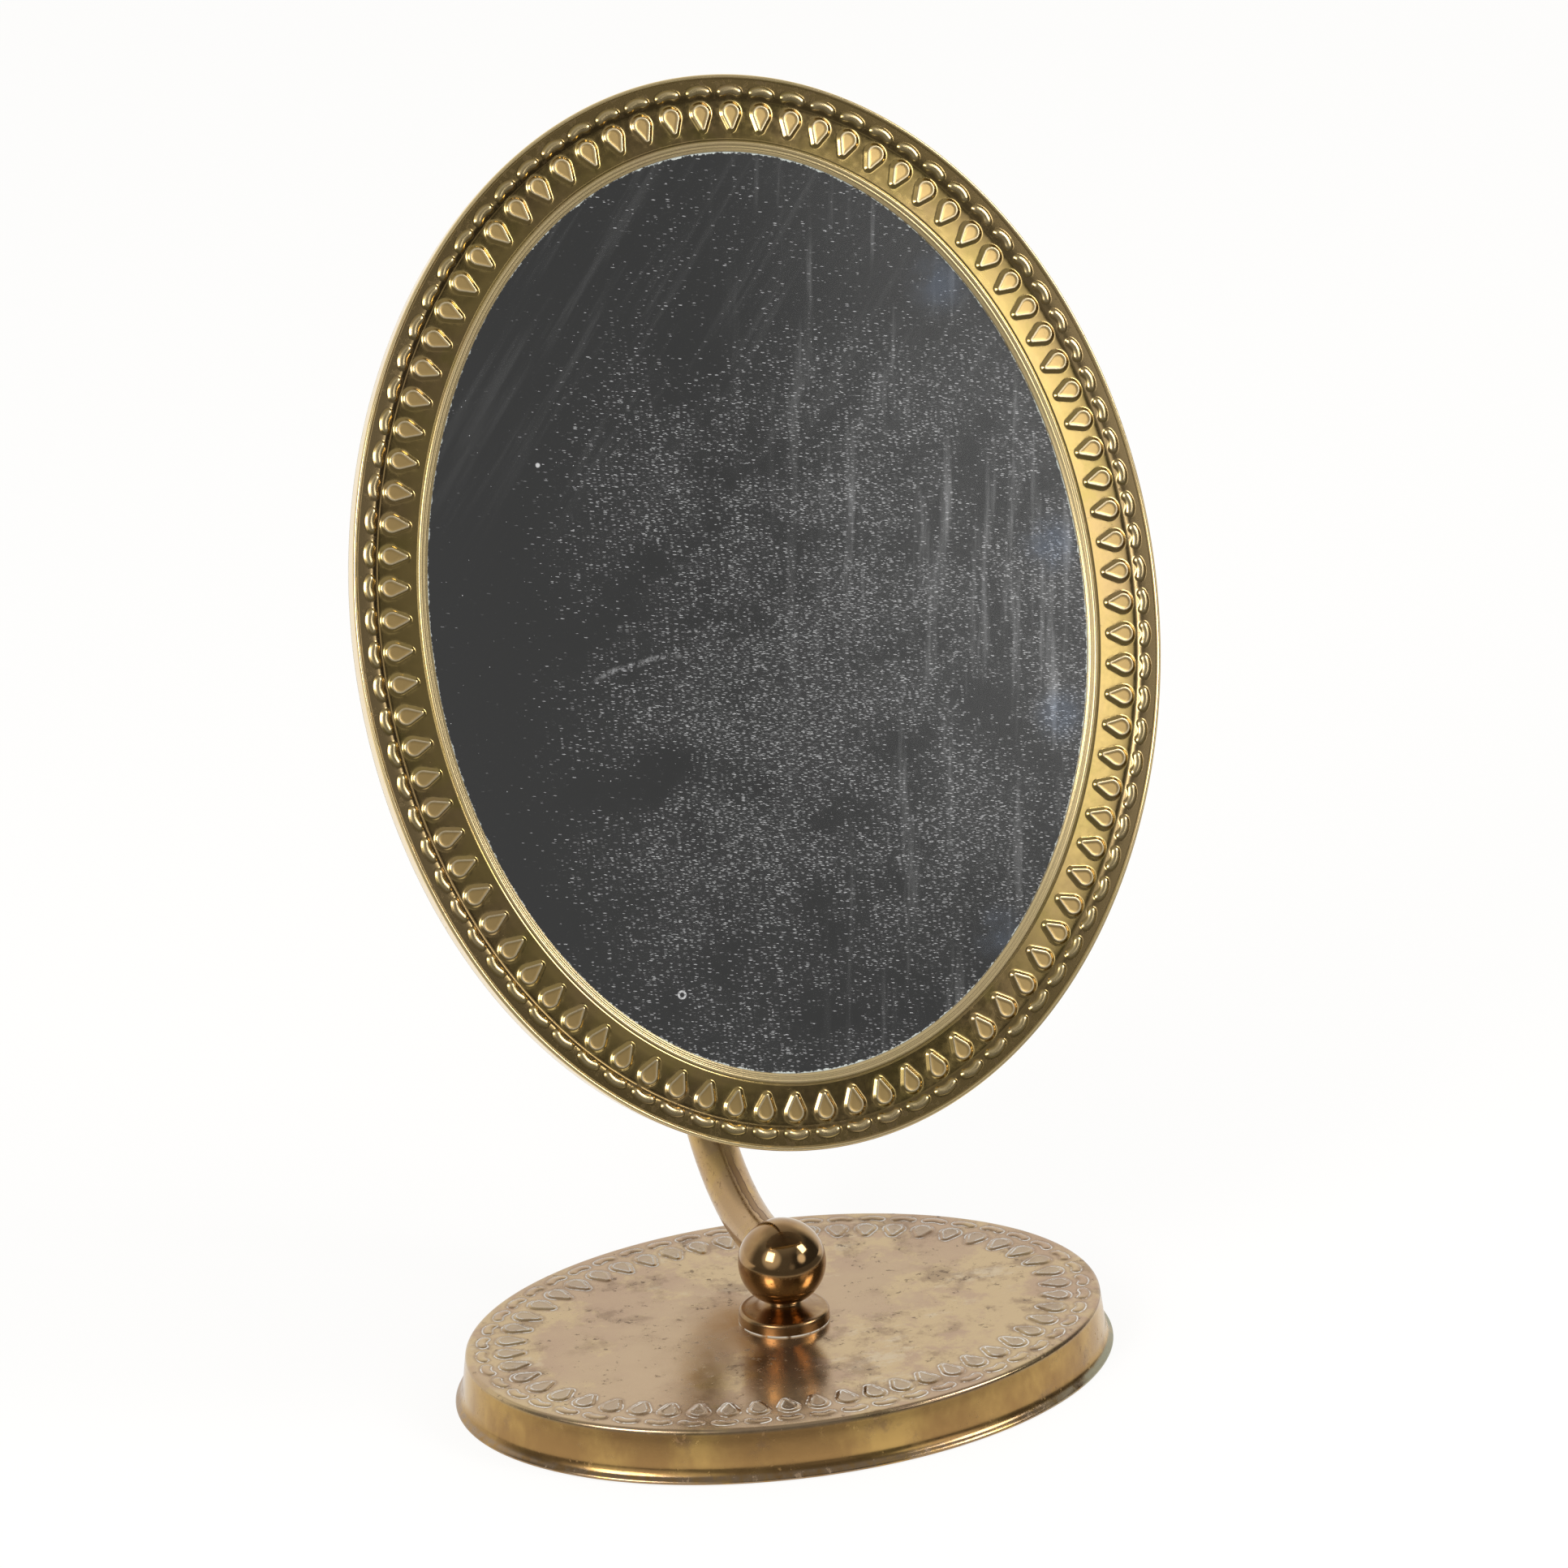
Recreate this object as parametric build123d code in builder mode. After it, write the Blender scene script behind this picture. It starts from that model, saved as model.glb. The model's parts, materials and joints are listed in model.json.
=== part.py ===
from build123d import *
from math import asin, cos, pi, radians, sin, tan
import os

# Oval brass table mirror, all lengths in mm.
# Origin: middle of the base, on the table. +Z up, the mirror faces -Y, the base is long in X.

# Base
plate_long = 105.0          # half length of the flat top
plate_short = 77.0
base_height = 17.5
sheet = 1.2                 # brass sheet of the base
skirt_flare = 1.3
flare_start = 5.0           # height where the skirt turns out to the foot
foot_reach = 3.8            # how far the foot stands out past the flat top
corner = 1.5
foot_lip = 1.3
foot_gap = 0.3              # the felt stands this much lower than the foot
lap = 1.0                   # overlap of the swept rim and the flat plate

# Stamped drops, the same punches on base and frame
drop_width = 7.0
drop_tip = 1.1              # radius of the pointed end
drop_length = 10.0
drop_rise = 0.8
crescent_width = 8.4
crescent_thick = 2.8
crescent_arc = 5.0          # radius of its middle line
crescent_rise = 0.7
punch_slope = 38            # flank angle of both, degrees from the punch direction
mark_buried = 0.4           # how deep a mark's foot sits in the sheet
base_drops = 52
base_drop_inset = 13.1
base_crescent_inset = 5.0
base_turn = 0.17            # where the first drop falls, in pitches
frame_drops = 88
frame_drop_inset = 12.2
frame_crescent_inset = 5.0
frame_turn = 0.1

# Ballast, cover and felt under the plate
weight_long = 92.0
weight_short = 64.0
cover_thick = 2.0
felt_thick = 1.0
cover_gap = 0.6             # cover edge to the inside of the skirt
cover_screw = 1.5
cover_screw_head = 2.9
cover_screw_length = 9.0
countersink = 1.4
cross_long = 3.6            # cross recess of the cover screws
cross_wide = 0.6
cross_deep = 0.8
counterbore = 9.2           # radius of the hole for the bolt head
weight_chamfer = 1.5

# Turned post: flange, neck and ball
ball_radius = 14.2
ball_height = 37.6
flange_radius = 14.8
flange_height = 3.4
flange_draft = 0.2
flange_step = 0.8
cove_foot = 3.0             # neck surface to the foot of its cove
cove_rise = 1.5
neck_radius = 5.3

# Bolt that holds the post
bolt_radius = 3.0
bolt_head = 10.0            # across flats
bolt_head_height = 4.0
washer_radius = 6.2
washer_thick = 1.6
spring_washer_radius = 5.4
bolt_clamp = 4.0            # ballast left above the counterbore
bolt_reach = 10.5           # into the post
bolt_slack = 0.1            # radial, every screw in its hole
slit_width = 0.8            # cut of the spring washer
slit_angle = 20
break_edge = 0.6            # small chamfer on bolt and plug ends

# Bent tube arm
tube_radius = 7.5
tube_wall = 1.0
tube_bend = 80.0
tube_turn = 117.9           # degrees
tube_back = 22.3            # ball centre to the start of the bend
tube_to_pivot = 96.7        # end of the bend to the tilt axis
lean = 3.0                  # the arm stands this far out of upright on its stud
socket_floor = 9.5
stud_radius = 4.0
stud_end = -3.0
bore_extra = 1.0            # each bore is this much deeper than what goes in
plug_length = 12.0
solder_gap = 0.05           # radial, plugs in the tube

# Mirror head
mirror_half_width = 133.0
mirror_half_height = 170.2
tilt = 22.9                 # leaned back from upright, degrees
frame_sheet = 0.8
wall_draft = 0.9            # the wall leans in this much towards the back
glass_inset = 24.4
glass_hold = 4.2            # glass hidden under the frame
glass_thick = 3.0
silver_thick = 0.1
packing_thick = 2.2
back_sheet = 0.8
back_gap = 0.3              # edge of the back sheet to the frame wall
tab_count = 8
tab_width = 12.0
tab_reach = 6.0
lip_width = 2.0             # rolled lip along the outer edge
lip_rise = 0.9
valley_inset = 7.8          # from the outer edge
rib_inset = 20.6            # where the ribs begin
rib_width = 1.6
rib_rise = 0.45
rib_fall = 0.1
step_width = 1.4

# Tilt hinge
pivot_standoff = 16.6       # back sheet to tilt axis
pivot_radius = 2.5
running = 0.05              # radial clearance of a turning fit
face_gap = 0.03             # between sliding faces
tongue_thick = 5.0
eye_radius = 6.5
eye_reach = 20.0            # pivot to the end of the tube
shoulder = 2.0
friction_washer = 0.8
lug_thick = 2.0
lug_radius = 7.0
bracket_long = 46.0
bracket_wide = 30.0
bracket_sheet = 1.5
bracket_corner = 5.0
lug_foot = 8.0              # how much wider the lug is at its foot
lug_side = 76               # degrees
rivet_long = 14.0           # rivet places from the middle
rivet_wide = 9.0
rivet_radius = 1.6
rivet_head = 3.2
rivet_head_height = 0.6
rivet_tail = 2.8
rivet_tail_height = 0.5
screw_head_radius = 5.0
screw_head = 3.0
slot_width = 1.0
slot_depth = 1.2
screw_end = 1.0             # screw beyond the nut
wave_washer = 1.0
knob_radius = 8.0
knob_width = 7.0
knob_gap = 0.2
knob_grooves = 24
groove_radius = 0.7
groove_out = 0.3            # groove centres lie this far outside the rim

# Levels of the head, measured along its normal from the outer face of the back sheet
tab_level = -frame_sheet
glass_back = back_sheet + packing_thick + silver_thick
glass_front = glass_back + glass_thick
inner_edge = glass_front + 0.2
edge_top = inner_edge + 0.4
valley = inner_edge + 0.9   # lowest line of the sheet, between drops and crescents
rib_foot = inner_edge + 1.8
band_edge = inner_edge + 1.6
frame_top = inner_edge + 2.2


def drop_tool(height):
    # one teardrop punch mark, round end towards +X, its bottom buried in the sheet
    with BuildPart() as tool:
        with BuildSketch():
            Circle(drop_width / 2)
            with Locations((drop_width / 2 + drop_tip - drop_length, 0)):
                Circle(drop_tip)
            make_hull()
        extrude(amount=height, taper=punch_slope)
    return tool.part


def crescent_tool(height):
    # one crescent punch mark, bulging towards +X, the middle of its band at the origin
    half_angle = asin((crescent_width - crescent_thick) / 2 / crescent_arc) * 180 / pi
    with BuildPart() as tool:
        with BuildSketch():
            bow = CenterArc((-crescent_arc, 0), crescent_arc, -half_angle, 2 * half_angle, mode=Mode.PRIVATE)
            SlotArc(bow, crescent_thick)
        extrude(amount=height, taper=punch_slope)
    return tool.part


def ring_planes(level, half_x, half_y, inset, count, turn, slope):
    # planes evenly along an oval, x outwards, tipped by the slope of the sheet
    with BuildLine(level) as ring:
        EllipticalCenterArc((0, 0), half_x - inset, half_y - inset, start_angle=90, arc_size=360)
    planes = []
    for i in range(count):
        along = ((i + turn) / count) % 1
        forward = ring.line % along
        outward = forward.cross(level.z_dir)
        uphill = outward * cos(slope) + level.z_dir * sin(slope)
        upright = level.z_dir * cos(slope) - outward * sin(slope)
        planes.append(Plane(origin=ring.line @ along, x_dir=uphill, z_dir=upright))
    return planes


def side_plane(level, reach):
    # section plane at the +X end of an oval: x outwards, y along the normal
    start = level.from_local_coords(Vector(reach, 0, 0))
    return Plane(origin=start, x_dir=level.x_dir, z_dir=-level.y_dir)


# Frames of the leaning arm and of the mirror head
upright = Plane(Location((0, 0, ball_height), (0, lean, 0)))
arm = Plane(origin=upright.origin, x_dir=upright.y_dir, z_dir=upright.x_dir)
turn = radians(tube_turn)
bend_back = tube_back + tube_bend * sin(turn)
bend_up = tube_bend * (1 - cos(turn))
pivot_back = bend_back + tube_to_pivot * cos(turn)
pivot_up = bend_up + tube_to_pivot * sin(turn)
pivot_place = upright.location * Location((0, pivot_back, pivot_up))
pivot = Plane(pivot_place * Location((0, 0, 0), (90 - tilt, 0, 0)))
head = pivot.offset(pivot_standoff)
eye = Plane(arm.location * Location((pivot_back, pivot_up, 0), (0, 0, tube_turn)))


# Base shell: oval plate with drops and crescents, flared skirt and turned-out foot
ground = Plane.XY
with BuildPart() as base_shell:
    with BuildLine(ground) as plate_edge:
        EllipticalCenterArc((0, 0), plate_long, plate_short, arc_size=360)
    with BuildSketch(side_plane(ground, plate_long)):
        with BuildLine():
            top = Line((-corner - lap, base_height), (-corner, base_height))
            round_edge = TangentArc(top @ 1, (0, base_height - corner), tangent=(1, 0))
            wall = Line(round_edge @ 1, (skirt_flare, flare_start))
            flare = TangentArc(wall @ 1, (foot_reach, foot_lip), tangent=wall % 1)
            rim = Polyline(flare @ 1, (foot_reach, foot_gap), (foot_reach - foot_lip, foot_gap))
            inner_flare = Line(rim @ 1, (skirt_flare - sheet, flare_start))
            inner_wall = Line(inner_flare @ 1, (-sheet, base_height - corner))
            under = Polyline(inner_wall @ 1, (-corner, base_height - sheet),
                             (-corner - lap, base_height - sheet), top @ 0)
        make_face()
    sweep(path=plate_edge.wires()[0])
    inside = base_shell.edges().filter_by_position(Axis.Z, base_height - 0.01, base_height + 0.01)
    with BuildSketch(Plane.XY.offset(base_height)):
        make_face(inside.filter_by(lambda e: e.is_closed).sort_by(SortBy.LENGTH)[0])
    extrude(amount=-sheet)
    with BuildSketch(Plane.XY.offset(base_height)):
        Circle(bolt_radius + 2 * bolt_slack)
    extrude(amount=-sheet, mode=Mode.SUBTRACT)

plate_level = Plane.XY.offset(base_height - mark_buried)
with BuildPart() as base_drop_marks:
    with Locations(*ring_planes(plate_level, plate_long, plate_short, base_drop_inset,
                                base_drops, -base_turn, 0)):
        add(drop_tool(drop_rise + mark_buried))
    with Locations(*ring_planes(plate_level, plate_long, plate_short, base_crescent_inset,
                                base_drops, -base_turn, 0)):
        add(crescent_tool(crescent_rise + mark_buried))
with BuildPart() as base_top:
    add(base_shell.part)
    add(base_drop_marks.part)
base_shell.part = base_top.part
base_shell.part.label = "base_shell"

# Cast ballast under the plate
weight_top = base_height - sheet
weight_foot = felt_thick + cover_thick
cover_screw_at = [(0.62 * weight_long * x, 0.62 * weight_short * y) for x in (-1, 1) for y in (-1, 1)]
with BuildPart() as base_weight:
    with BuildSketch(Plane.XY.offset(weight_foot)):
        Ellipse(weight_long, weight_short)
    extrude(amount=weight_top - weight_foot)
    chamfer(base_weight.edges().group_by(Axis.Z)[0], weight_chamfer)
    with BuildSketch(Plane.XY.offset(weight_foot)):
        Circle(counterbore)
    extrude(amount=weight_top - bolt_clamp - weight_foot, mode=Mode.SUBTRACT)
    with BuildSketch(Plane.XY.offset(weight_foot)):
        Circle(bolt_radius + bolt_slack)
        with Locations(*cover_screw_at):
            Circle(cover_screw + bolt_slack)
    extrude(amount=cover_screw_length, mode=Mode.SUBTRACT)
    with BuildSketch(Plane.XY.offset(weight_foot)):
        Circle(bolt_radius + bolt_slack)
    extrude(amount=weight_top - weight_foot, mode=Mode.SUBTRACT)
base_weight.part.label = "base_weight"

# Cover board and felt, inside the skirt
cover_long = plate_long + skirt_flare - sheet - cover_gap
cover_short = plate_short + skirt_flare - sheet - cover_gap
with BuildPart() as base_cover:
    with BuildSketch(Plane.XY.offset(felt_thick)):
        Ellipse(cover_long, cover_short)
        with Locations(*cover_screw_at):
            Circle(cover_screw + bolt_slack, mode=Mode.SUBTRACT)
    extrude(amount=cover_thick)
    with Locations(*[(x, y, felt_thick + countersink / 2) for x, y in cover_screw_at]):
        Cone(cover_screw_head + bolt_slack, cover_screw + bolt_slack, countersink, mode=Mode.SUBTRACT)
base_cover.part.label = "base_cover"

with BuildPart() as base_felt:
    with BuildSketch(Plane.XY):
        Ellipse(cover_long, cover_short)
    extrude(amount=felt_thick)
base_felt.part.label = "base_felt"

with BuildPart() as cover_screws:
    with Locations(*[(x, y, felt_thick + countersink / 2) for x, y in cover_screw_at]):
        Cone(cover_screw_head, cover_screw, countersink)
    with BuildSketch(Plane.XY.offset(felt_thick + countersink)):
        with Locations(*cover_screw_at):
            Circle(cover_screw)
    extrude(amount=cover_screw_length - countersink)
    with BuildSketch(Plane.XY.offset(felt_thick)):
        with Locations(*cover_screw_at):
            Rectangle(cross_long, cross_wide)
            Rectangle(cross_wide, cross_long)
    extrude(amount=cross_deep, mode=Mode.SUBTRACT)
cover_screws.part.label = "cover_screws"

# Turned post: flange, cove neck and ball, bored for the bolt and the arm stud
flange_top = base_height + flange_height
neck_angle = asin(neck_radius / ball_radius) * 180 / pi
cove_top = ball_height - (ball_radius ** 2 - neck_radius ** 2) ** 0.5
with BuildPart() as ball_post:
    with BuildSketch(Plane.XZ):
        with BuildLine():
            flange = Polyline((0, base_height), (flange_radius, base_height),
                              (flange_radius - flange_draft, flange_top),
                              (flange_radius - flange_draft - flange_step, flange_top + flange_step),
                              (flange_radius - 2 * flange_step, flange_top + flange_step))
            Spline(flange @ 1, (neck_radius + cove_foot, flange_top + cove_rise), (neck_radius, cove_top))
            CenterArc((0, ball_height), ball_radius, neck_angle - 90, 180 - neck_angle)
            Line((0, ball_height + ball_radius), (0, base_height))
        make_face()
    revolve(axis=Axis.Z)
    with BuildSketch(Plane.XY.offset(base_height)):
        Circle(bolt_radius + bolt_slack)
    extrude(amount=bolt_reach + bore_extra, mode=Mode.SUBTRACT)
    with BuildSketch(Plane(origin=(0, socket_floor, ball_height), z_dir=(0, 1, 0))):
        Circle(tube_radius + bolt_slack)
    extrude(amount=ball_radius, mode=Mode.SUBTRACT)
    with BuildSketch(Plane(origin=(0, stud_end - bore_extra, ball_height), z_dir=(0, 1, 0))):
        Circle(stud_radius + bolt_slack)
    extrude(amount=ball_radius, mode=Mode.SUBTRACT)
ball_post.part.label = "ball_post"

# Hexagon bolt, plain washer and spring washer
washer_seat = weight_top - bolt_clamp
head_seat = washer_seat - 2 * washer_thick
with BuildPart() as post_bolt:
    with BuildSketch(Plane.XY.offset(head_seat)):
        RegularPolygon(bolt_head / 2, 6, major_radius=False)
    extrude(amount=-bolt_head_height)
    chamfer(post_bolt.edges().group_by(Axis.Z)[0], break_edge)
    with BuildSketch(Plane.XY.offset(head_seat)):
        Circle(bolt_radius)
    extrude(amount=base_height + bolt_reach - head_seat)
    chamfer(post_bolt.edges().group_by(Axis.Z)[-1], break_edge)
post_bolt.part.label = "post_bolt"

with BuildPart() as post_washer:
    with BuildSketch(Plane.XY.offset(washer_seat - washer_thick)):
        Circle(washer_radius)
        Circle(bolt_radius + 2 * bolt_slack, mode=Mode.SUBTRACT)
    extrude(amount=washer_thick)
post_washer.part.label = "post_washer"

with BuildPart() as post_spring_washer:
    with BuildSketch(Plane.XY.offset(head_seat)):
        Circle(spring_washer_radius)
        Circle(bolt_radius + 2 * bolt_slack, mode=Mode.SUBTRACT)
        with Locations(((spring_washer_radius + bolt_radius) / 2, 0)):
            Rectangle(spring_washer_radius, slit_width, rotation=slit_angle, mode=Mode.SUBTRACT)
    extrude(amount=washer_thick)
post_spring_washer.part.label = "post_spring_washer"

# Bent tube arm: out of the ball to the back, round the bend, up to the tilt hinge
with BuildPart() as arm_tube:
    with BuildLine(arm) as arm_path:
        low = Line((socket_floor, 0), (tube_back, 0))
        bend = JernArc(low @ 1, low % 1, tube_bend, tube_turn)
        PolarLine(bend @ 1, tube_to_pivot - eye_reach, angle=tube_turn)
    with BuildSketch(Plane(origin=low @ 0, z_dir=low % 0)):
        Circle(tube_radius)
        Circle(tube_radius - tube_wall, mode=Mode.SUBTRACT)
    sweep(path=arm_path.wires()[0])
arm_tube.part.label = "arm_tube"

# Plug with stud, soldered into the lower end of the tube
with BuildPart() as arm_plug:
    with BuildSketch(Plane(origin=(0, socket_floor, ball_height), z_dir=(0, 1, 0))):
        Circle(tube_radius - tube_wall - solder_gap)
    extrude(amount=plug_length)
    with BuildSketch(Plane(origin=(0, stud_end, ball_height), z_dir=(0, 1, 0))):
        Circle(stud_radius)
    extrude(amount=socket_floor - stud_end)
    chamfer(arm_plug.edges().group_by(Axis.Y)[0], break_edge)
arm_plug.part.label = "arm_plug"

# Eye fitting at the top of the tube: plug, shoulder and flat tongue round the tilt axis
tube_end = Plane(eye.location * Location((-eye_reach, 0, 0), (0, 90, 0)))
with BuildPart() as arm_eye:
    with BuildSketch(tube_end):
        Circle(tube_radius - tube_wall - solder_gap)
    extrude(amount=-plug_length)
    with BuildSketch(tube_end):
        Circle(tube_radius)
    extrude(amount=shoulder)
    chamfer(arm_eye.edges().filter_by(GeomType.CIRCLE).sort_by(lambda e: e.center().Z)[-1], break_edge)
    with BuildSketch(eye):
        Circle(eye_radius)
        with Locations((-(eye_reach - shoulder) / 2, 0)):
            Rectangle(eye_reach - shoulder, 2 * eye_radius - 2)
    extrude(amount=tongue_thick / 2, both=True)
    with BuildSketch(eye):
        Circle(pivot_radius + running)
    extrude(amount=tongue_thick, both=True, mode=Mode.SUBTRACT)
arm_eye.part.label = "arm_eye"

# Friction washers on both faces of the tongue
with BuildPart() as friction_washers:
    for side in (-1, 1):
        with BuildSketch(eye.offset(side * tongue_thick / 2)):
            Circle(eye_radius - 0.5)
            Circle(pivot_radius + 0.15, mode=Mode.SUBTRACT)
        extrude(amount=side * friction_washer)
friction_washers.part.label = "friction_washers"

# Hinge bracket on the back sheet: base plate and two lugs
lug_inner = tongue_thick / 2 + friction_washer + face_gap
lug_outer = lug_inner + lug_thick
rivet_at = [(rivet_long * x, rivet_wide * y) for x in (-1, 1) for y in (-1, 1)]
across = Plane(pivot.location * Location((0, 0, 0), (0, 90, 0)))
with BuildPart() as hinge_bracket:
    with BuildSketch(head):
        RectangleRounded(bracket_long, bracket_wide, bracket_corner)
        with Locations(*rivet_at):
            Circle(rivet_radius + bolt_slack, mode=Mode.SUBTRACT)
    extrude(amount=-bracket_sheet)
    for way in (-1, 1):
        with BuildSketch(across.offset(way * lug_inner)):
            Circle(lug_radius)
            with Locations((-(pivot_standoff - bracket_sheet) / 2, 0)):
                Trapezoid(2 * lug_radius + lug_foot, pivot_standoff - bracket_sheet, lug_side, rotation=-90)
            Circle(pivot_radius + bolt_slack, mode=Mode.SUBTRACT)
        extrude(amount=way * lug_thick)
hinge_bracket.part.label = "hinge_bracket"

# Rivets through bracket and back sheet
with BuildPart() as bracket_rivets:
    with Locations(*[head.offset(-bracket_sheet) * Location((x, y, 0)) for x, y in rivet_at]):
        Cylinder(rivet_radius, bracket_sheet + back_sheet, align=(Align.CENTER, Align.CENTER, Align.MIN))
        Cylinder(rivet_head, rivet_head_height, align=(Align.CENTER, Align.CENTER, Align.MAX))
    with Locations(*[head.offset(back_sheet) * Location((x, y, 0)) for x, y in rivet_at]):
        Cylinder(rivet_tail, rivet_tail_height, align=(Align.CENTER, Align.CENTER, Align.MIN))
bracket_rivets.part.label = "bracket_rivets"

# Pivot screw across the lugs
with BuildPart() as pivot_screw:
    with BuildSketch(across.offset(-lug_outer)):
        Circle(screw_head_radius)
    extrude(amount=-screw_head)
    with BuildSketch(across.offset(-lug_outer)):
        Circle(pivot_radius)
    extrude(amount=2 * lug_outer + wave_washer + knob_gap + knob_width + screw_end)
    with BuildSketch(across.offset(-lug_outer - screw_head)):
        Rectangle(slot_width, 3 * screw_head_radius)
    extrude(amount=slot_depth, mode=Mode.SUBTRACT)
pivot_screw.part.label = "pivot_screw"

with BuildPart() as pivot_washer:
    with BuildSketch(across.offset(lug_outer)):
        Circle(screw_head_radius)
        Circle(pivot_radius + bolt_slack, mode=Mode.SUBTRACT)
    extrude(amount=wave_washer)
pivot_washer.part.label = "pivot_washer"

# Knurled thumb nut
with BuildPart() as thumb_nut:
    with BuildSketch(across.offset(lug_outer + wave_washer + knob_gap)):
        Circle(knob_radius)
        Circle(pivot_radius + running, mode=Mode.SUBTRACT)
        with PolarLocations(knob_radius + groove_out, knob_grooves):
            Circle(groove_radius, mode=Mode.SUBTRACT)
    extrude(amount=knob_width)
thumb_nut.part.label = "thumb_nut"

# Back sheet, packing, silvering and glass
back_edge = wall_draft + frame_sheet
hold_x = mirror_half_width - glass_inset + glass_hold
hold_y = mirror_half_height - glass_inset + glass_hold
with BuildPart() as back_plate:
    with BuildSketch(head):
        Ellipse(mirror_half_width - back_edge - back_gap, mirror_half_height - back_edge - back_gap)
        with Locations(*rivet_at):
            Circle(rivet_radius + bolt_slack, mode=Mode.SUBTRACT)
    extrude(amount=back_sheet)
back_plate.part.label = "back_plate"

with BuildPart() as glass_packing:
    with BuildSketch(head.offset(back_sheet)):
        Ellipse(hold_x, hold_y)
        with Locations(*rivet_at):
            Circle(rivet_head + 0.5, mode=Mode.SUBTRACT)
    extrude(amount=packing_thick)
glass_packing.part.label = "glass_packing"

with BuildPart() as mirror_silver:
    with BuildSketch(head.offset(glass_back - silver_thick)):
        Ellipse(hold_x, hold_y)
    extrude(amount=silver_thick)
mirror_silver.part.label = "mirror_silver"

with BuildPart() as mirror_glass:
    with BuildSketch(head.offset(glass_back)):
        Ellipse(hold_x, hold_y)
    extrude(amount=glass_thick)
mirror_glass.part.label = "mirror_glass"

# Stamped frame: wall, rolled lip, band, ground with the drops, two ribs, tabs over the back sheet
with BuildPart() as mirror_frame:
    with BuildLine(head) as frame_edge:
        EllipticalCenterArc((0, 0), mirror_half_width, mirror_half_height, arc_size=360)
    with BuildSketch(side_plane(head, mirror_half_width)):
        with BuildLine():
            wall = Line((-wall_draft, tab_level), (0, frame_top - lip_rise))
            lip = ThreePointArc(wall @ 1, (-lip_rise, frame_top), (-lip_width, band_edge))
            band = Polyline(lip @ 1, (-valley_inset, valley), (-rib_inset, rib_foot))
            rib_end = rib_inset + rib_width
            rib_middle = (-(rib_inset + rib_end) / 2, rib_foot + rib_rise)
            rib = ThreePointArc(band @ 1, rib_middle, (-rib_end, rib_foot - rib_fall))
            step_end = rib_end + step_width
            step = ThreePointArc(rib @ 1, (-(rib_end + step_end) / 2, rib_foot), (-step_end, edge_top))
            edge = Polyline(step @ 1, (-glass_inset, edge_top), (-glass_inset, inner_edge))
            Polyline(edge @ 1, (-rib_inset, rib_foot - frame_sheet),
                     (-valley_inset, valley - frame_sheet),
                     (-frame_sheet, band_edge - frame_sheet), (-back_edge, tab_level), wall @ 0)
        make_face()
    sweep(path=frame_edge.wires()[0])

ground_rise = Vector(rib_inset - valley_inset, rib_foot - valley).get_angle(Vector(1, 0))
band_fall = Vector(valley_inset - lip_width, band_edge - valley).get_angle(Vector(1, 0))
drop_fall = (rib_inset - frame_drop_inset) * tan(radians(ground_rise))
drop_level = head.offset(rib_foot - drop_fall - mark_buried)
crescent_level = head.offset((band_edge + valley) / 2 - mark_buried)
with BuildPart() as frame_marks:
    with Locations(*ring_planes(drop_level, mirror_half_width, mirror_half_height, frame_drop_inset,
                                frame_drops, frame_turn, -radians(ground_rise))):
        add(drop_tool(drop_rise + mark_buried))
    with Locations(*ring_planes(crescent_level, mirror_half_width, mirror_half_height,
                                frame_crescent_inset, frame_drops, frame_turn,
                                radians(band_fall))):
        add(crescent_tool(crescent_rise + mark_buried))
with BuildPart() as frame_tabs:
    with Locations(*ring_planes(head.offset(tab_level), mirror_half_width, mirror_half_height,
                                back_edge - frame_sheet / 2, tab_count, 0.5, 0)):
        Box(tab_reach, tab_width, frame_sheet, align=(Align.MAX, Align.CENTER, Align.MIN))
with BuildPart() as whole_frame:
    add(mirror_frame.part)
    add(frame_marks.part)
    add(frame_tabs.part)
mirror_frame.part = whole_frame.part
mirror_frame.part.label = "mirror_frame"

os.makedirs("parts", exist_ok=True)
pieces = [base_shell, base_weight, base_cover, base_felt, cover_screws, ball_post, post_bolt,
          post_washer, post_spring_washer, arm_tube, arm_plug, arm_eye, friction_washers,
          hinge_bracket, bracket_rivets, pivot_screw, pivot_washer, thumb_nut, back_plate,
          glass_packing, mirror_silver, mirror_glass, mirror_frame]
for piece in pieces:
    export_step(piece.part, f"parts/{piece.part.label}.step")
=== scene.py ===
import json
import math
import bpy
import numpy as np
from mathutils import Matrix, Vector


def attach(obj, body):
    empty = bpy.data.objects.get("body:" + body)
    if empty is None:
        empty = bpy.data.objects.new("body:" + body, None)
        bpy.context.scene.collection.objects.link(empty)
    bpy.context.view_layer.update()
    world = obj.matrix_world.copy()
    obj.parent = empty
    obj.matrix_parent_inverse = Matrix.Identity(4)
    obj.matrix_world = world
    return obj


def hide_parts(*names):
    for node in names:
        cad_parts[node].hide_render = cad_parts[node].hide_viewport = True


# Oval brass table mirror, leaned back on its bent arm.
# Sections and marks are in mm, the scene and the heights in materials in metres.

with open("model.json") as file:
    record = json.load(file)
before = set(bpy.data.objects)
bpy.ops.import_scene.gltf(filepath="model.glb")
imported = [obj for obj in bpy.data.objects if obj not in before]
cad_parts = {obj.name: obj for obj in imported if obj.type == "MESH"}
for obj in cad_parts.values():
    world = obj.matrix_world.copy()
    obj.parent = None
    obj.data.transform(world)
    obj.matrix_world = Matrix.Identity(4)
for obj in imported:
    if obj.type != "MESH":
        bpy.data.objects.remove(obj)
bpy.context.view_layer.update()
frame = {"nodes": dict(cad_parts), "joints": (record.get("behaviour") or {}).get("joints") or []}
mm = 0.001
print("packed model loaded")

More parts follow.
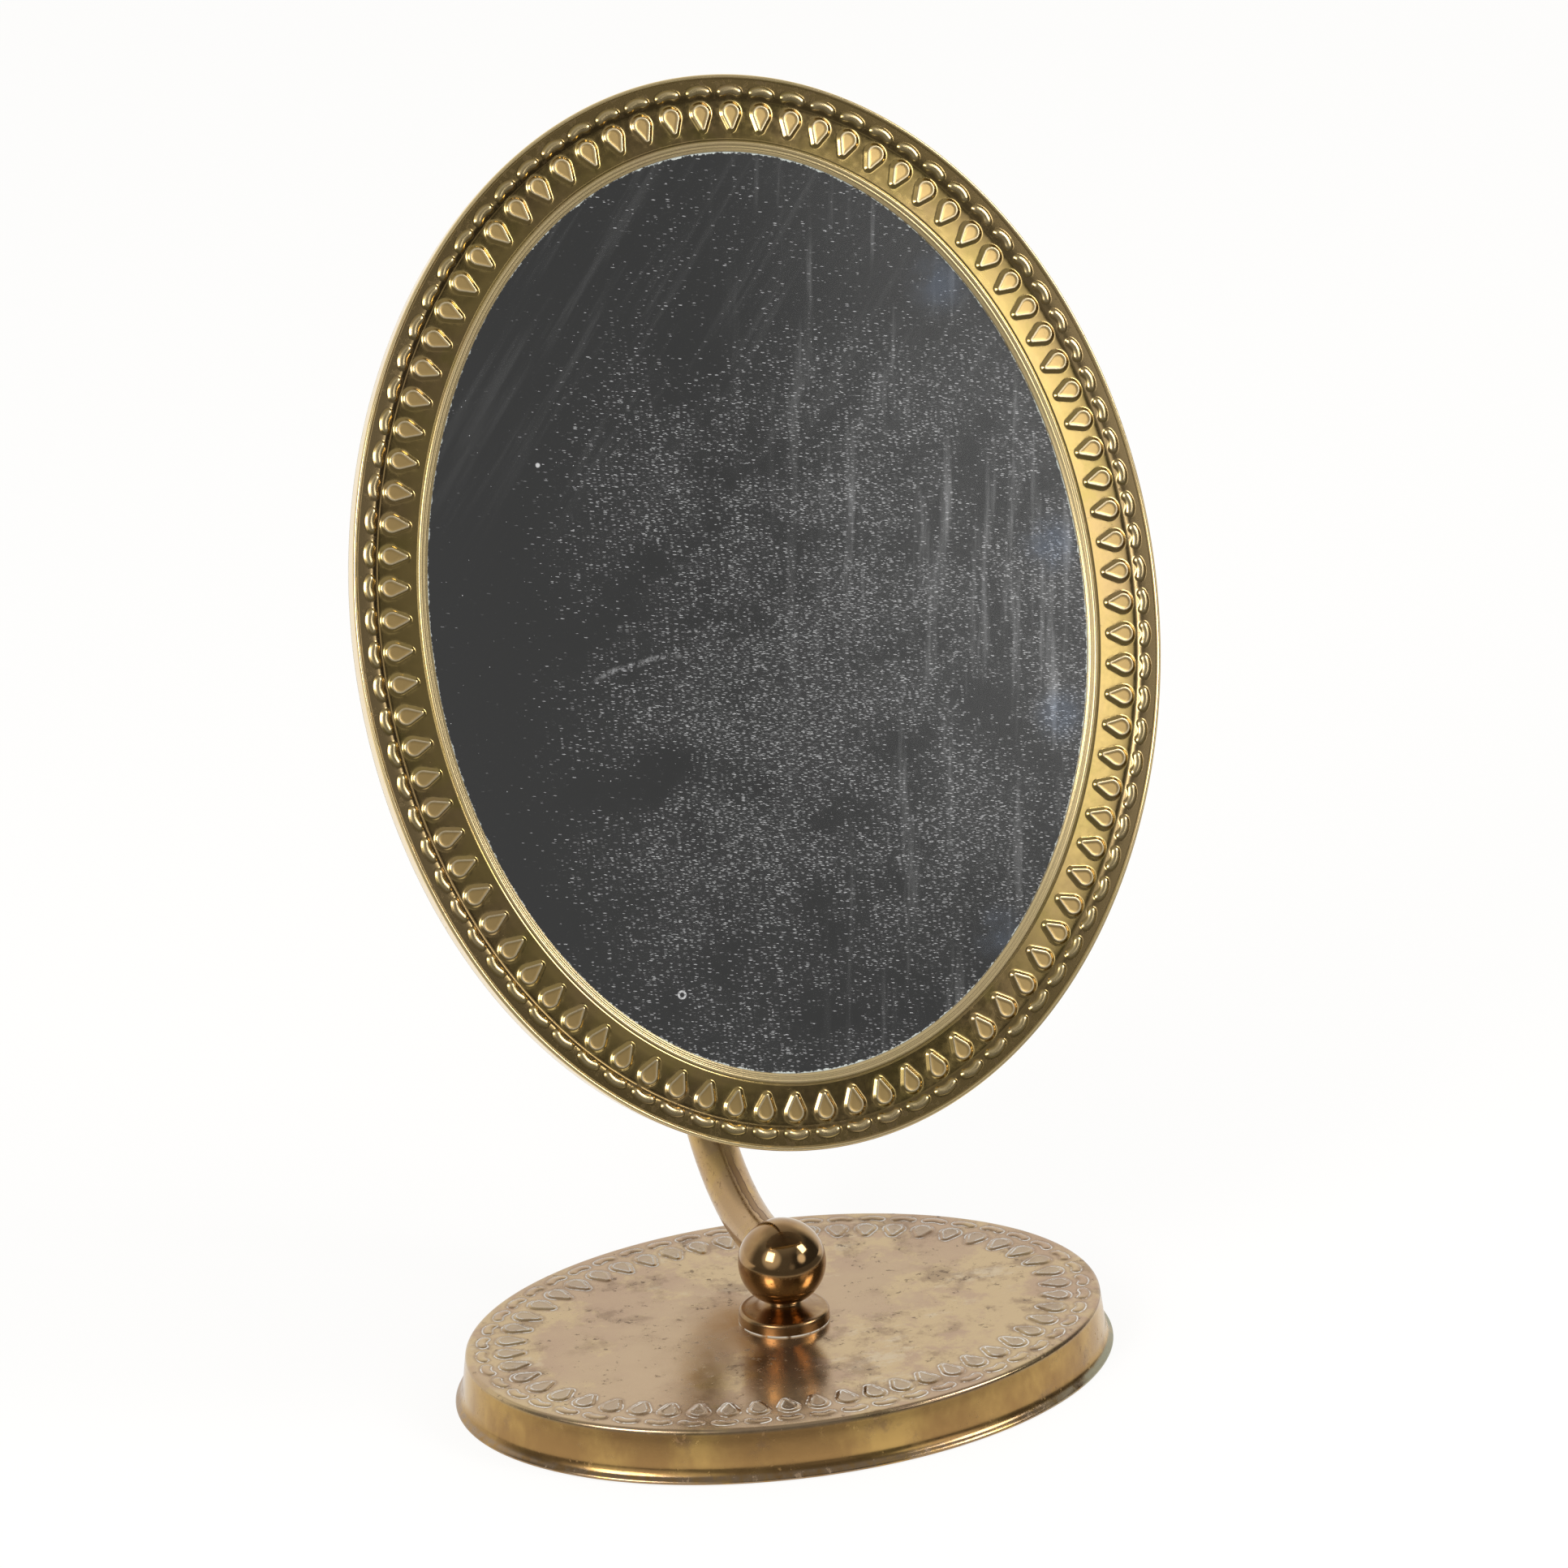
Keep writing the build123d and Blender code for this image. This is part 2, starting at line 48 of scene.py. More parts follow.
# the mirror head's own plane: lean and tilt in degrees, and how far in front of the tilt screw it is
headPlace = {"lean": 3.0, "tilt": 22.9, "standoff": 16.6}
tiltJoint = [j for j in frame["joints"] if j["name"] == "mirror_tilt"][0]
tiltAngle = math.radians(headPlace["tilt"])
leanAngle = math.radians(headPlace["lean"])
headAcross = Vector((math.cos(leanAngle), 0, -math.sin(leanAngle)))
uprightWay = Vector((math.sin(leanAngle), 0, math.cos(leanAngle)))
headNormal = Vector((0, -1, 0)) * math.cos(tiltAngle) + uprightWay * math.sin(tiltAngle)
headUp = headNormal.cross(headAcross)
headMiddle = Vector(tiltJoint["pos_m"]) + headNormal * headPlace["standoff"] * mm
headTurn = Matrix((headAcross, headUp, headNormal)).transposed().to_euler()


# node helpers; they work on the tree opened last

openTree = {}


def startTree(owner):
    owner.use_nodes = True
    openTree["nodes"] = owner.node_tree.nodes


def startMaterial(name):
    material = bpy.data.materials.new(name)
    startTree(material)
    return material, openTree["nodes"]["Principled BSDF"]


def setInput(socket, value):
    if isinstance(value, bpy.types.NodeSocket):
        socket.id_data.links.new(value, socket)
    else:
        socket.default_value = value


def addNode(kind, inputs=None, **settings):
    made = openTree["nodes"].new(kind)
    for key, value in settings.items():
        setattr(made, key, value)
    for key, value in (inputs or {}).items():
        setInput(made.inputs[key], value)
    return made


def setLook(shader, colour, metallic, rough):
    for name, value in (("Base Color", colour), ("Metallic", metallic), ("Roughness", rough)):
        setInput(shader.inputs[name], value)


def roughen(shader, height, strength, depth):
    made = addNode("ShaderNodeBump", {"Height": height, "Strength": strength, "Distance": depth})
    setInput(shader.inputs["Normal"], made.outputs[0])


def ownPlace():
    return addNode("ShaderNodeTexCoord").outputs["Object"]


def pieceValue(name):
    return addNode("ShaderNodeAttribute", attribute_name=name).outputs["Fac"]


def axes(place):
    return addNode("ShaderNodeSeparateXYZ", {0: place}).outputs


def noise(place, scale, detail=4.0, rough=0.55, stretch=None):
    if stretch:
        place = addNode("ShaderNodeMapping", {"Vector": place, "Scale": stretch}).outputs[0]
    return addNode("ShaderNodeTexNoise", {"Vector": place, "Scale": scale, "Detail": detail,
                                          "Roughness": rough}).outputs["Fac"]


def sums(operation, a, b=0.0, clamp=False):
    return addNode("ShaderNodeMath", {0: a, 1: b}, operation=operation, use_clamp=clamp).outputs[0]


def times(a, b, clamp=False):
    return sums("MULTIPLY", a, b, clamp)


def plus(a, b):
    return sums("ADD", a, b)


def minus(a, b, clamp=False):
    return sums("SUBTRACT", a, b, clamp)


def larger(a, b):
    return sums("MAXIMUM", a, b)


def waySums(operation, a, b=(0, 0, 0)):
    # the same for places and ways
    made = addNode("ShaderNodeVectorMath", {0: a, 1: b}, operation=operation)
    return made.outputs["Value" if operation in ("DISTANCE", "LENGTH", "DOT_PRODUCT") else "Vector"]


def fade(value, low, high):
    # 0 at low, 1 at high
    return addNode("ShaderNodeMapRange", {"Value": value, "From Min": low, "From Max": high},
                   interpolation_type="SMOOTHSTEP").outputs["Result"]


def gapFade(value, at, low, high):
    # the same by how far the value is from this number
    return fade(sums("ABSOLUTE", minus(value, at)), low, high)


def between(value, rise, fall):
    # 1 from the end of the rise to the end of the fall
    return times(fade(value, *rise), fade(value, *fall))


def blendValue(share, under, over):
    return addNode("ShaderNodeMix", {0: share, 2: under, 3: over}).outputs[0]


def blendColour(share, under, over):
    under, over = (c if isinstance(c, bpy.types.NodeSocket) else (*c, 1.0) for c in (under, over))
    return addNode("ShaderNodeMix", {0: share, 6: under, 7: over}, data_type="RGBA").outputs[2]


def tint(colour, over, share, strength=None):
    # another colour laid over this one
    return blendColour(share if strength is None else times(share, strength), colour, over)


# mesh helpers

def makeMesh(name, points, faces, values=None, smooth=True):
    mesh = bpy.data.meshes.new(name)
    mesh.from_pydata(points.tolist() if hasattr(points, "tolist") else points, [], faces)
    if smooth:
        mesh.shade_smooth()
    for key, numbers in (values or {}).items():
        layer = mesh.attributes.new(key, "FLOAT", "POINT")
        layer.data.foreach_set("value", np.asarray(numbers, np.float32))
    mesh.update()
    made = bpy.data.objects.new(name, mesh)
    bpy.context.scene.collection.objects.link(made)
    return made


def gridFaces(rows, columns):
    # quads between rows of points, each row closed round the oval
    faces = []
    for r in range(rows - 1):
        for c in range(columns):
            d = (c + 1) % columns
            faces.append((r * columns + c, r * columns + d, (r + 1) * columns + d, (r + 1) * columns + c))
    return faces


def softStep(x):
    x = np.clip(x, 0, 1)
    return x * x * (3 - 2 * x)


def smoothLine(points, pieces):
    # a curve through the points, several short pieces between each two
    p = np.array(points, float)
    p = np.vstack([2 * p[0] - p[1], p, 2 * p[-1] - p[-2]])
    out = []
    for i in range(1, len(p) - 2):
        for t in np.linspace(0, 1, pieces, endpoint=False):
            a, b, c, d = p[i - 1], p[i], p[i + 1], p[i + 2]
            out.append(0.5 * (2 * b + (c - a) * t + (2 * a - 5 * b + 4 * c - d) * t ** 2
                              + (3 * b - a - 3 * c + d) * t ** 3))
    out.append(p[-2])
    return np.array(out)


def evenRows(points, step):
    # points on the curve through these, this far apart
    line = smoothLine(points, 24)
    run = np.concatenate([[0], np.cumsum(np.hypot(*np.diff(line, axis=0).T))])
    at = np.linspace(0, run[-1], max(2, int(round(run[-1] / step)) + 1))
    return np.stack([np.interp(at, run, line[:, 0]), np.interp(at, run, line[:, 1])], 1)


def sectionRows(shape):
    # inset and level of each row of a sheet's section, and 1 where it is stamped
    rows = np.empty((0, 3))
    for name, step in shape["steps"].items():
        line = evenRows(shape[name], step) if step else np.array(shape[name], float)
        if len(rows) and np.allclose(rows[-1, :2], line[0]):
            line = line[1:]
        stamped = np.full((len(line), 1), float(name == shape["stamped"]))
        rows = np.vstack([rows, np.hstack([line, stamped])])
    return rows


# stamped marks: teardrops and crescents along an oval

punch = {
    "dropRadius": 3.8, "dropTip": 1.8, "dropLength": 10.4, "dropRise": 0.85, "flank": 1.4,
    "dish": 0.14, "dishWidth": 0.85, "foot": 0.1,  # foot: how far outside its outline a mark begins to rise
    "crescentArc": 5.0, "crescentHalf": 1.6, "crescentWidth": 8.4, "crescentRise": 0.68,
    "crescentRound": 1.9,
}


def ovalPlaces(halfX, halfY, shares):
    # points and outward ways on an oval at these shares of its length, from its top and to the left
    turn = np.linspace(0.5 * np.pi, 2.5 * np.pi, 40001)
    x, y = halfX * np.cos(turn), halfY * np.sin(turn)
    run = np.concatenate([[0], np.cumsum(np.hypot(np.diff(x), np.diff(y)))])
    at = np.interp(np.mod(shares, 1) * run[-1], run, turn)
    way = np.stack([halfY * np.cos(at), halfX * np.sin(at)], 1)
    way /= np.linalg.norm(way, axis=1)[:, None]
    return np.stack([halfX * np.cos(at), halfY * np.sin(at)], 1), way, at


def dropDistance(u, v):
    # mm from the outline of a teardrop, less than 0 inside; u runs outwards, v along the oval
    big, small = punch["dropRadius"], punch["dropTip"]
    apart = punch["dropLength"] - big - small
    side = np.abs(v)
    down = -u
    sine = (big - small) / apart
    cosine = math.sqrt(1 - sine * sine)
    along = -sine * side + cosine * down
    straight = side * cosine + down * sine - big
    out = np.where(along < 0, np.hypot(side, down) - big, straight)
    return np.where(along > cosine * apart, np.hypot(side, down - apart) - small, out)


def crescentDistance(u, v):
    arc, half = punch["crescentArc"], punch["crescentHalf"]
    reach = math.asin((punch["crescentWidth"] / 2 - half) / arc)
    cu = u + arc
    angle = np.arctan2(np.abs(v), cu)
    ends = np.hypot(cu - arc * math.cos(reach), np.abs(v) - arc * math.sin(reach))
    return np.where(angle < reach, np.abs(np.hypot(cu, v) - arc), ends) - half


def nearestMark(points, halfX, halfY, inset, count, turn, shares, measure):
    # distance of every point of the sheet from the nearest mark of one ring
    best = np.full(points.shape[0], 1e3)
    first = np.round(shares * count - turn)
    for extra in (-1, 0, 1):
        centre, way, _ = ovalPlaces(halfX - inset, halfY - inset, (first + extra + turn) / count)
        gap = points - centre
        u = (gap * way).sum(1)
        v = gap[:, 0] * -way[:, 1] + gap[:, 1] * way[:, 0]
        best = np.minimum(best, measure(u, v))
    return best


def markRelief(drop, crescent, punchDepth):
    # height of the sheet over its ground in mm
    foot = punch["foot"]
    rise = punch["dropRise"] * softStep((foot - drop) / punch["flank"])
    dish = punch["dish"] * softStep((-punch["flank"] + 0.05 - drop) / punch["dishWidth"])
    depth = np.clip((foot - crescent) / (punch["crescentHalf"] + foot), 0, 1)
    ridge = punch["crescentRise"] * (1 - (1 - depth) ** punch["crescentRound"]) * softStep(depth * 4)
    return (rise - dish + ridge) * punchDepth


def stampedSheet(shape):
    # points, levels, rows, columns and mark distances of a sheet swept round an oval
    section = sectionRows(shape)
    columns = shape["marks"] * shape["columnsPerMark"]
    shares = np.arange(columns) / columns
    halfX, halfY = shape["halfX"], shape["halfY"]
    ring, _, turn = ovalPlaces(halfX - shape["dropInset"], halfY - shape["dropInset"], shares)
    for _ in range(6):  # nearest places on the outer oval to the ring of drops
        ex, ey = halfX * np.cos(turn), halfY * np.sin(turn)
        dx, dy = -halfX * np.sin(turn), halfY * np.cos(turn)
        slip = (ex - ring[:, 0]) * dx + (ey - ring[:, 1]) * dy
        bend = dx * dx + dy * dy - (ex - ring[:, 0]) * ex - (ey - ring[:, 1]) * ey
        turn = turn - slip / bend
    edge = np.stack([halfX * np.cos(turn), halfY * np.sin(turn)], 1)
    way = np.stack([halfY * np.cos(turn), halfX * np.sin(turn)], 1)
    way /= np.linalg.norm(way, axis=1)[:, None]
    flat = (edge[None] - way[None] * section[:, 0][:, None, None]).reshape(-1, 2)
    everyShare = np.tile(shares, len(section))
    drop, crescent = (
        nearestMark(flat, halfX, halfY, shape[key], shape["marks"], shape["turn"], everyShare, measure)
        for key, measure in (("dropInset", dropDistance), ("crescentInset", crescentDistance)))
    inset, level, stamped = (np.repeat(section[:, k], columns) for k in range(3))
    level = level + markRelief(drop, crescent, shape["depth"]) * stamped
    return flat, level, len(section), columns, {"dropGap": drop, "crescentGap": crescent, "inset": inset}


# mirror frame: stamped oval sheet

frameShape = {
    "halfX": 132.9, "halfY": 170.1, "marks": 88, "turn": 0.1, "columnsPerMark": 32, "depth": 1.0,
    "dropInset": 12.05, "crescentInset": 4.95,
    "steps": {"wall": None, "lip": 0.22, "band": 0.25, "ribs": 0.2, "under": None}, "stamped": "band",
    "wall": [(1.6, -0.8), (0.98, -0.8), (0.88, -0.7), (0.75, 0.5), (0.5, 2.5), (0.25, 5.0), (0.06, 6.9)],
    "lip": [(0, 7.35), (0.03, 7.75), (0.16, 8.1), (0.4, 8.34), (0.7, 8.42), (1.0, 8.35), (1.22, 8.15),
            (1.36, 7.98), (1.6, 7.92)],
    "band": [(1.6, 7.92), (3.0, 7.92), (4.5, 7.91), (5.8, 7.86), (6.5, 7.72), (7.05, 7.44), (7.5, 7.16),
             (7.95, 6.98), (8.5, 6.93), (9.5, 6.94), (11.5, 7.02), (14, 7.17), (17, 7.42), (19, 7.63),
             (20.6, 7.81)],
    "ribs": [(20.6, 7.81), (20.85, 7.74), (21.05, 7.64), (21.25, 7.72), (21.5, 7.88), (21.85, 7.95),
             (22.2, 7.86), (22.5, 7.64), (22.7, 7.52), (22.9, 7.56), (23.15, 7.6), (23.4, 7.5),
             (23.65, 7.26), (23.8, 7.06), (23.95, 7.02), (24.15, 6.95), (24.3, 6.8), (24.4, 6.6),
             (24.4, 6.3)],
    "under": [(20.6, 7.0), (8.2, 6.3), (0.9, 7.0), (1.2, 4.0), (1.6, -0.8)],
    "sheet": 0.8, "tabs": 8, "tabHalf": 6.0, "tabReach": 6.0, "tabInset": 1.3, "tabLift": 0.12,
    "tabSoft": 0.2,
}


def headPoint(flat, level):
    # from the mirror head's own plane to the scene
    middle, across, up, out = (np.array(v) for v in (headMiddle, headAcross, headUp, headNormal))
    return middle + (flat[:, :1] * across + flat[:, 1:2] * up + level[:, None] * out) * mm


def buildFrame():
    flat, level, rows, columns, values = stampedSheet(frameShape)
    made = makeMesh("mirror_frame_sheet", headPoint(flat, level), gridFaces(rows, columns), values)
    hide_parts("mirror_frame")
    return made


def buildTabs():
    # tabs of the frame's wall, folded over the back sheet
    shape = frameShape
    at, way, _ = ovalPlaces(shape["halfX"] - shape["tabInset"], shape["halfY"] - shape["tabInset"],
                            (np.arange(shape["tabs"]) + 0.5) / shape["tabs"])
    points, faces = [], []
    reachSteps, sideSteps = np.linspace(0, 1, 9), (-1, -0.5, 0, 0.5, 1)
    for centre, outward in zip(at, way):
        along = np.array([-outward[1], outward[0]])
        start = len(points)
        for layer in (-shape["sheet"], 0.0):
            for reach in reachSteps:
                half = shape["tabHalf"] * (1 - 0.5 * max(0.0, reach - 0.6) ** 2 / 0.16)  # round outer end
                for side in sideSteps:
                    place = centre - outward * reach * shape["tabReach"] + along * side * half
                    lift = layer + (shape["tabLift"] * reach if layer else 0)
                    points.append((*place, lift))
        across, deep = len(sideSteps), len(reachSteps)
        for layer in range(2):
            for r in range(deep - 1):
                for c in range(across - 1):
                    a = start + layer * across * deep + r * across + c
                    quad = (a, a + 1, a + across + 1, a + across)
                    faces.append(quad if layer else quad[::-1])
        # walls along the sides, then across the ends
        rims = [(r, c, True, c == 0) for r in range(deep - 1) for c in (0, across - 1)]
        rims += [(r, c, False, r == 0) for r in (0, deep - 1) for c in range(across - 1)]
        for r, c, alongSide, first in rims:
            a = start + r * across + c
            b = a + across * deep
            quad = (a, a + across, b + across, b) if alongSide else (a, b, b + 1, a + 1)
            faces.append(quad if first else quad[::-1])
    points = np.array(points)
    values = {key: np.full(len(points), far) for key, far in
              (("dropGap", 9.0), ("crescentGap", 9.0), ("inset", -1.0))}  # clear of every mark
    made = makeMesh("mirror_frame_tabs", headPoint(points[:, :2], points[:, 2]), faces, values, smooth=False)
    bevel = made.modifiers.new("soft edges", "BEVEL")
    bevel.width = shape["tabSoft"] * mm
    bevel.segments = 2
    bevel.limit_method = "ANGLE"
    return made


frameBrass = {
    "gold": (0.66, 0.475, 0.175), "rose": (0.62, 0.43, 0.19), "olive": (0.56, 0.42, 0.14),
    # the band's end colour is painted shade for the top and bottom of the band
    "floor": (0.80, 0.55, 0.225), "band": (0.48, 0.345, 0.165), "bandEndsShade": (0.30, 0.21, 0.085),
    # the two pale brasses are partly wear and partly painted highlight
    "wornAndHighlit": (0.96, 0.80, 0.52), "rubbedAndHighlit": (0.96, 0.77, 0.44), "stain": (0.10, 0.068, 0.03),
    # the darkest brown is painted shade for the valley behind the crescents
    "valleyShade": (0.08, 0.05, 0.02),
    "rough": 0.15, "roughRibs": 0.22, "roughFloor": 0.42, "roughBand": 0.26, "roughRims": 0.4,
    "roughStain": 0.6,
    # fades by mm in from the frame's edge
    "lipTo": (1.25, 1.0), "groove": (1.4, 0.28, 0.05), "bandRise": (1.2, 1.7), "bandFall": (8.4, 7.4),
    "valleyShadeRise": (6.2, 6.9), "valleyShadeFall": (9.2, 8.2), "foldsFrom": (20.2, 20.5),
    "foldsPerMm": 1.02, "ribsFrom": (20.8, 21.3), "brightFrom": (21.2, 21.5),
    # fades by mm from the outline of a drop or a crescent, less than 0 inside
    "floorFrom": (-1.35, -1.7), "rim": (-1.4, 0.42, 0.12), "raisedFrom": (-0.3, -0.9),
    "dullFrom": (-0.4, 0.2),
    "endsFrom": (0.06, 0.15), "leftFrom": (0.05, -0.05),  # by metres from the middle
}


def makeFrameBrass():
    material, shader = startMaterial("aged frame brass")
    s = frameBrass
    place = ownPlace()
    drop, crescent = pieceValue("dropGap"), pieceValue("crescentGap")
    inset = pieceValue("inset")
    cloud = noise(place, 34, 5, 0.6)
    fine = noise(place, 420, 6, 0.62)
    grain = noise(place, 1600, 3, 0.6)
    colour = blendColour(fade(cloud, 0.4, 0.66), s["gold"], s["rose"])
    colour = tint(colour, s["olive"], fade(noise(place, 75, 5, 0.6), 0.5, 0.72))
    # paler brass on the drop floors: painted light that lightens them
    litFloorShare = times(fade(drop, *s["floorFrom"]), 0.85)
    colour = tint(colour, s["floor"], litFloorShare)
    # dull patina on the outer band, rubbed off the crescents, with painted shade darkening the band at its
    # top and bottom ends
    band = between(inset, s["bandRise"], s["bandFall"])
    dull = times(band, fade(crescent, *s["dullFrom"]))
    upwards = waySums("DOT_PRODUCT", place, headUp)
    bandEndsShadeAndSpeckShare = gapFade(upwards, headMiddle.dot(headUp), *s["endsFrom"])
    colour = tint(colour, blendColour(bandEndsShadeAndSpeckShare, s["band"], s["bandEndsShade"]), dull)
    # paler brass on the lip, the ribs, the crescents and the crests of the drops: partly wear, partly
    # painted highlight
    rubbedAndHighlit = larger(fade(inset, *s["lipTo"]), fade(inset, *s["brightFrom"]))
    raised = fade(crescent, *s["raisedFrom"])
    rim = gapFade(drop, *s["rim"])
    for over, share, strength in (
            (s["rubbedAndHighlit"], rubbedAndHighlit, 0.6), (s["rubbedAndHighlit"], raised, 0.6), (s["wornAndHighlit"], rim, 0.8)):
        colour = tint(colour, over, share, strength)
    # dark specks, thick on the outer band and thin elsewhere
    level = blendValue(dull, 0.68, blendValue(bandEndsShadeAndSpeckShare, 0.62, 0.54))
    level = minus(level, times(minus(cloud, 0.5), 0.3))
    speck = fade(minus(fine, level), 0.0, 0.07)
    # painted shade round the feet of the drops, and darker in the groove inside the lip and in the folds
    # between the ribs
    around = times(between(drop, (0.9, 0.1), (-0.5, 0.0)), fade(fine, 0.35, 0.6))
    fold = sums("FRACT", times(minus(inset, s["foldsFrom"][1]), s["foldsPerMm"]))
    fold = times(gapFade(fold, 0.5, 0.34, 0.46), fade(inset, *s["foldsFrom"]))
    dirt = times(speck, 0.75)
    for share, strength in ((around, 0.2), (gapFade(inset, *s["groove"]), 0.6), (fold, 0.65)):
        dirt = larger(dirt, times(share, strength))
    # painted shade in the valley behind the crescents, thick on the left
    across = axes(place)["X"]
    valleyShadeShare = between(inset, s["valleyShadeRise"], s["valleyShadeFall"])
    valleyShadeShare = times(valleyShadeShare, fade(sums("MINIMUM", drop, crescent), 0.0, 0.5))
    valleyShadeShare = times(valleyShadeShare, blendValue(fade(across, *s["leftFrom"]), 0.2, 0.8))
    colour = tint(colour, s["valleyShade"], valleyShadeShare)
    # the specks and the darkening in the stain colour, the painted shade round the drops among them
    colour = tint(colour, s["stain"], dirt)
    metallic = blendValue(dirt, minus(1.0, times(rubbedAndHighlit, 0.22)), 0.75)
    rough = blendValue(fade(fine, 0.3, 0.75), s["rough"] - 0.03, s["rough"] + 0.05)
    for share, over in (
            (litFloorShare, s["roughFloor"]), (fade(inset, *s["ribsFrom"]), s["roughRibs"]),
            (larger(rim, times(raised, 0.5)), s["roughRims"]), (dull, s["roughBand"]),
            (dirt, s["roughStain"])):
        rough = blendValue(share, rough, over)
    setLook(shader, colour, metallic, rough)
    roughen(shader, plus(times(fine, 0.6), times(grain, 0.25)), 0.06, 0.00004)
    return material


mirrorFrame = buildFrame()
frameTabs = buildTabs()
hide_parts("mirror_frame")
frameMaterial = makeFrameBrass()
for piece in (mirrorFrame, frameTabs):
    piece.data.materials.append(frameMaterial)
    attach(piece, "mirror_head")
print("mirror frame stamped")

# base shell: stamped oval plate with skirt and turned-out foot

baseShape = {
    "halfX": 105.0, "halfY": 77.0, "marks": 52, "turn": -0.17, "columnsPerMark": 32, "depth": 0.5,
    "dropInset": 13.1, "crescentInset": 5.0, "height": 17.5,
    "steps": {"inner": None, "foot": 0.3, "wall": 1.4, "edge": 0.22, "plate": 0.32}, "stamped": "plate",
    "foot": [(-2.5, 0.32), (-3.3, 0.3), (-3.72, 0.5), (-3.78, 0.9), (-3.6, 1.3), (-3.15, 1.75), (-2.5, 2.3),
             (-1.95, 3.1), (-1.55, 4.1), (-1.3, 5.2), (-1.1, 7.0)],
    "wall": [(-1.1, 7.0), (-0.75, 10.0), (-0.4, 13.0), (-0.1, 15.2)],
    "edge": [(-0.1, 15.2), (0.0, 16.0), (0.12, 16.6), (0.4, 17.05), (0.85, 17.38), (1.4, 17.49),
             (2.1, 17.5)],
    "plate": [(2.1, 17.5), (8.0, 17.5), (14.0, 17.5), (21.0, 17.5)],
    "inner": [(1.1, 15.5), (0.4, 9.0), (-0.6, 4.5), (-2.4, 1.0)],
    "shrink": [0.93, 0.82, 0.7, 0.57, 0.44, 0.31, 0.18, 0.08],
}


def buildBase():
    flat, level, rows, columns, values = stampedSheet(baseShape)
    # the plain middle of the plate closes in smaller and smaller ovals
    shrink = baseShape["shrink"]
    flat = np.vstack([flat] + [flat[-columns:] * k for k in shrink] + [[(0.0, 0.0)]])
    extra = columns * len(shrink) + 1
    level = np.concatenate([level, np.full(extra, baseShape["height"])])
    for key, far in (("dropGap", 9.0), ("crescentGap", 9.0), ("inset", 30.0)):
        values[key] = np.concatenate([values[key], np.full(extra, far)])
    count = rows + len(shrink)
    faces = gridFaces(count, columns)
    last = (count - 1) * columns
    faces += [(last + c, last + (c + 1) % columns, count * columns) for c in range(columns)]
    made = makeMesh("base_shell_sheet", np.hstack([flat, level[:, None]]) * mm, faces, values)
    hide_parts("base_shell")
    return made


baseBrass = {
    "tan": (0.50, 0.355, 0.21), "rose": (0.45, 0.305, 0.19), "bare": (0.57, 0.42, 0.22),
    "pale": (0.60, 0.49, 0.34), "brown": (0.24, 0.145, 0.08), "speck": (0.12, 0.075, 0.045),
    "skirt": (0.33, 0.19, 0.07), "skirtGold": (0.52, 0.33, 0.11), "floor": (0.38, 0.29, 0.20),
    "lime": (0.86, 0.84, 0.78), "foot": (0.36, 0.25, 0.15), "green": (0.36, 0.37, 0.26),
    "rough": 0.17, "roughClouds": 0.3, "roughDirt": 0.7,
    "skirtFrom": (0.0168, 0.0155), "footFrom": (0.0032, 0.0022), "greenFrom": (0.055, 0.095),  # by metres
    # fades by mm from the outline of a mark, less than 0 inside
    "floorFrom": (-0.7, -1.3), "rimRise": (1.4, 0.3), "rimFall": (-0.9, -0.2),
    "limeOutline": (0.05, 0.36, 0.1), "limeDish": (-1.35, 0.34, 0.08),
    "limeFrom": (0.8, 1.8),  # by mm in from the edge
}


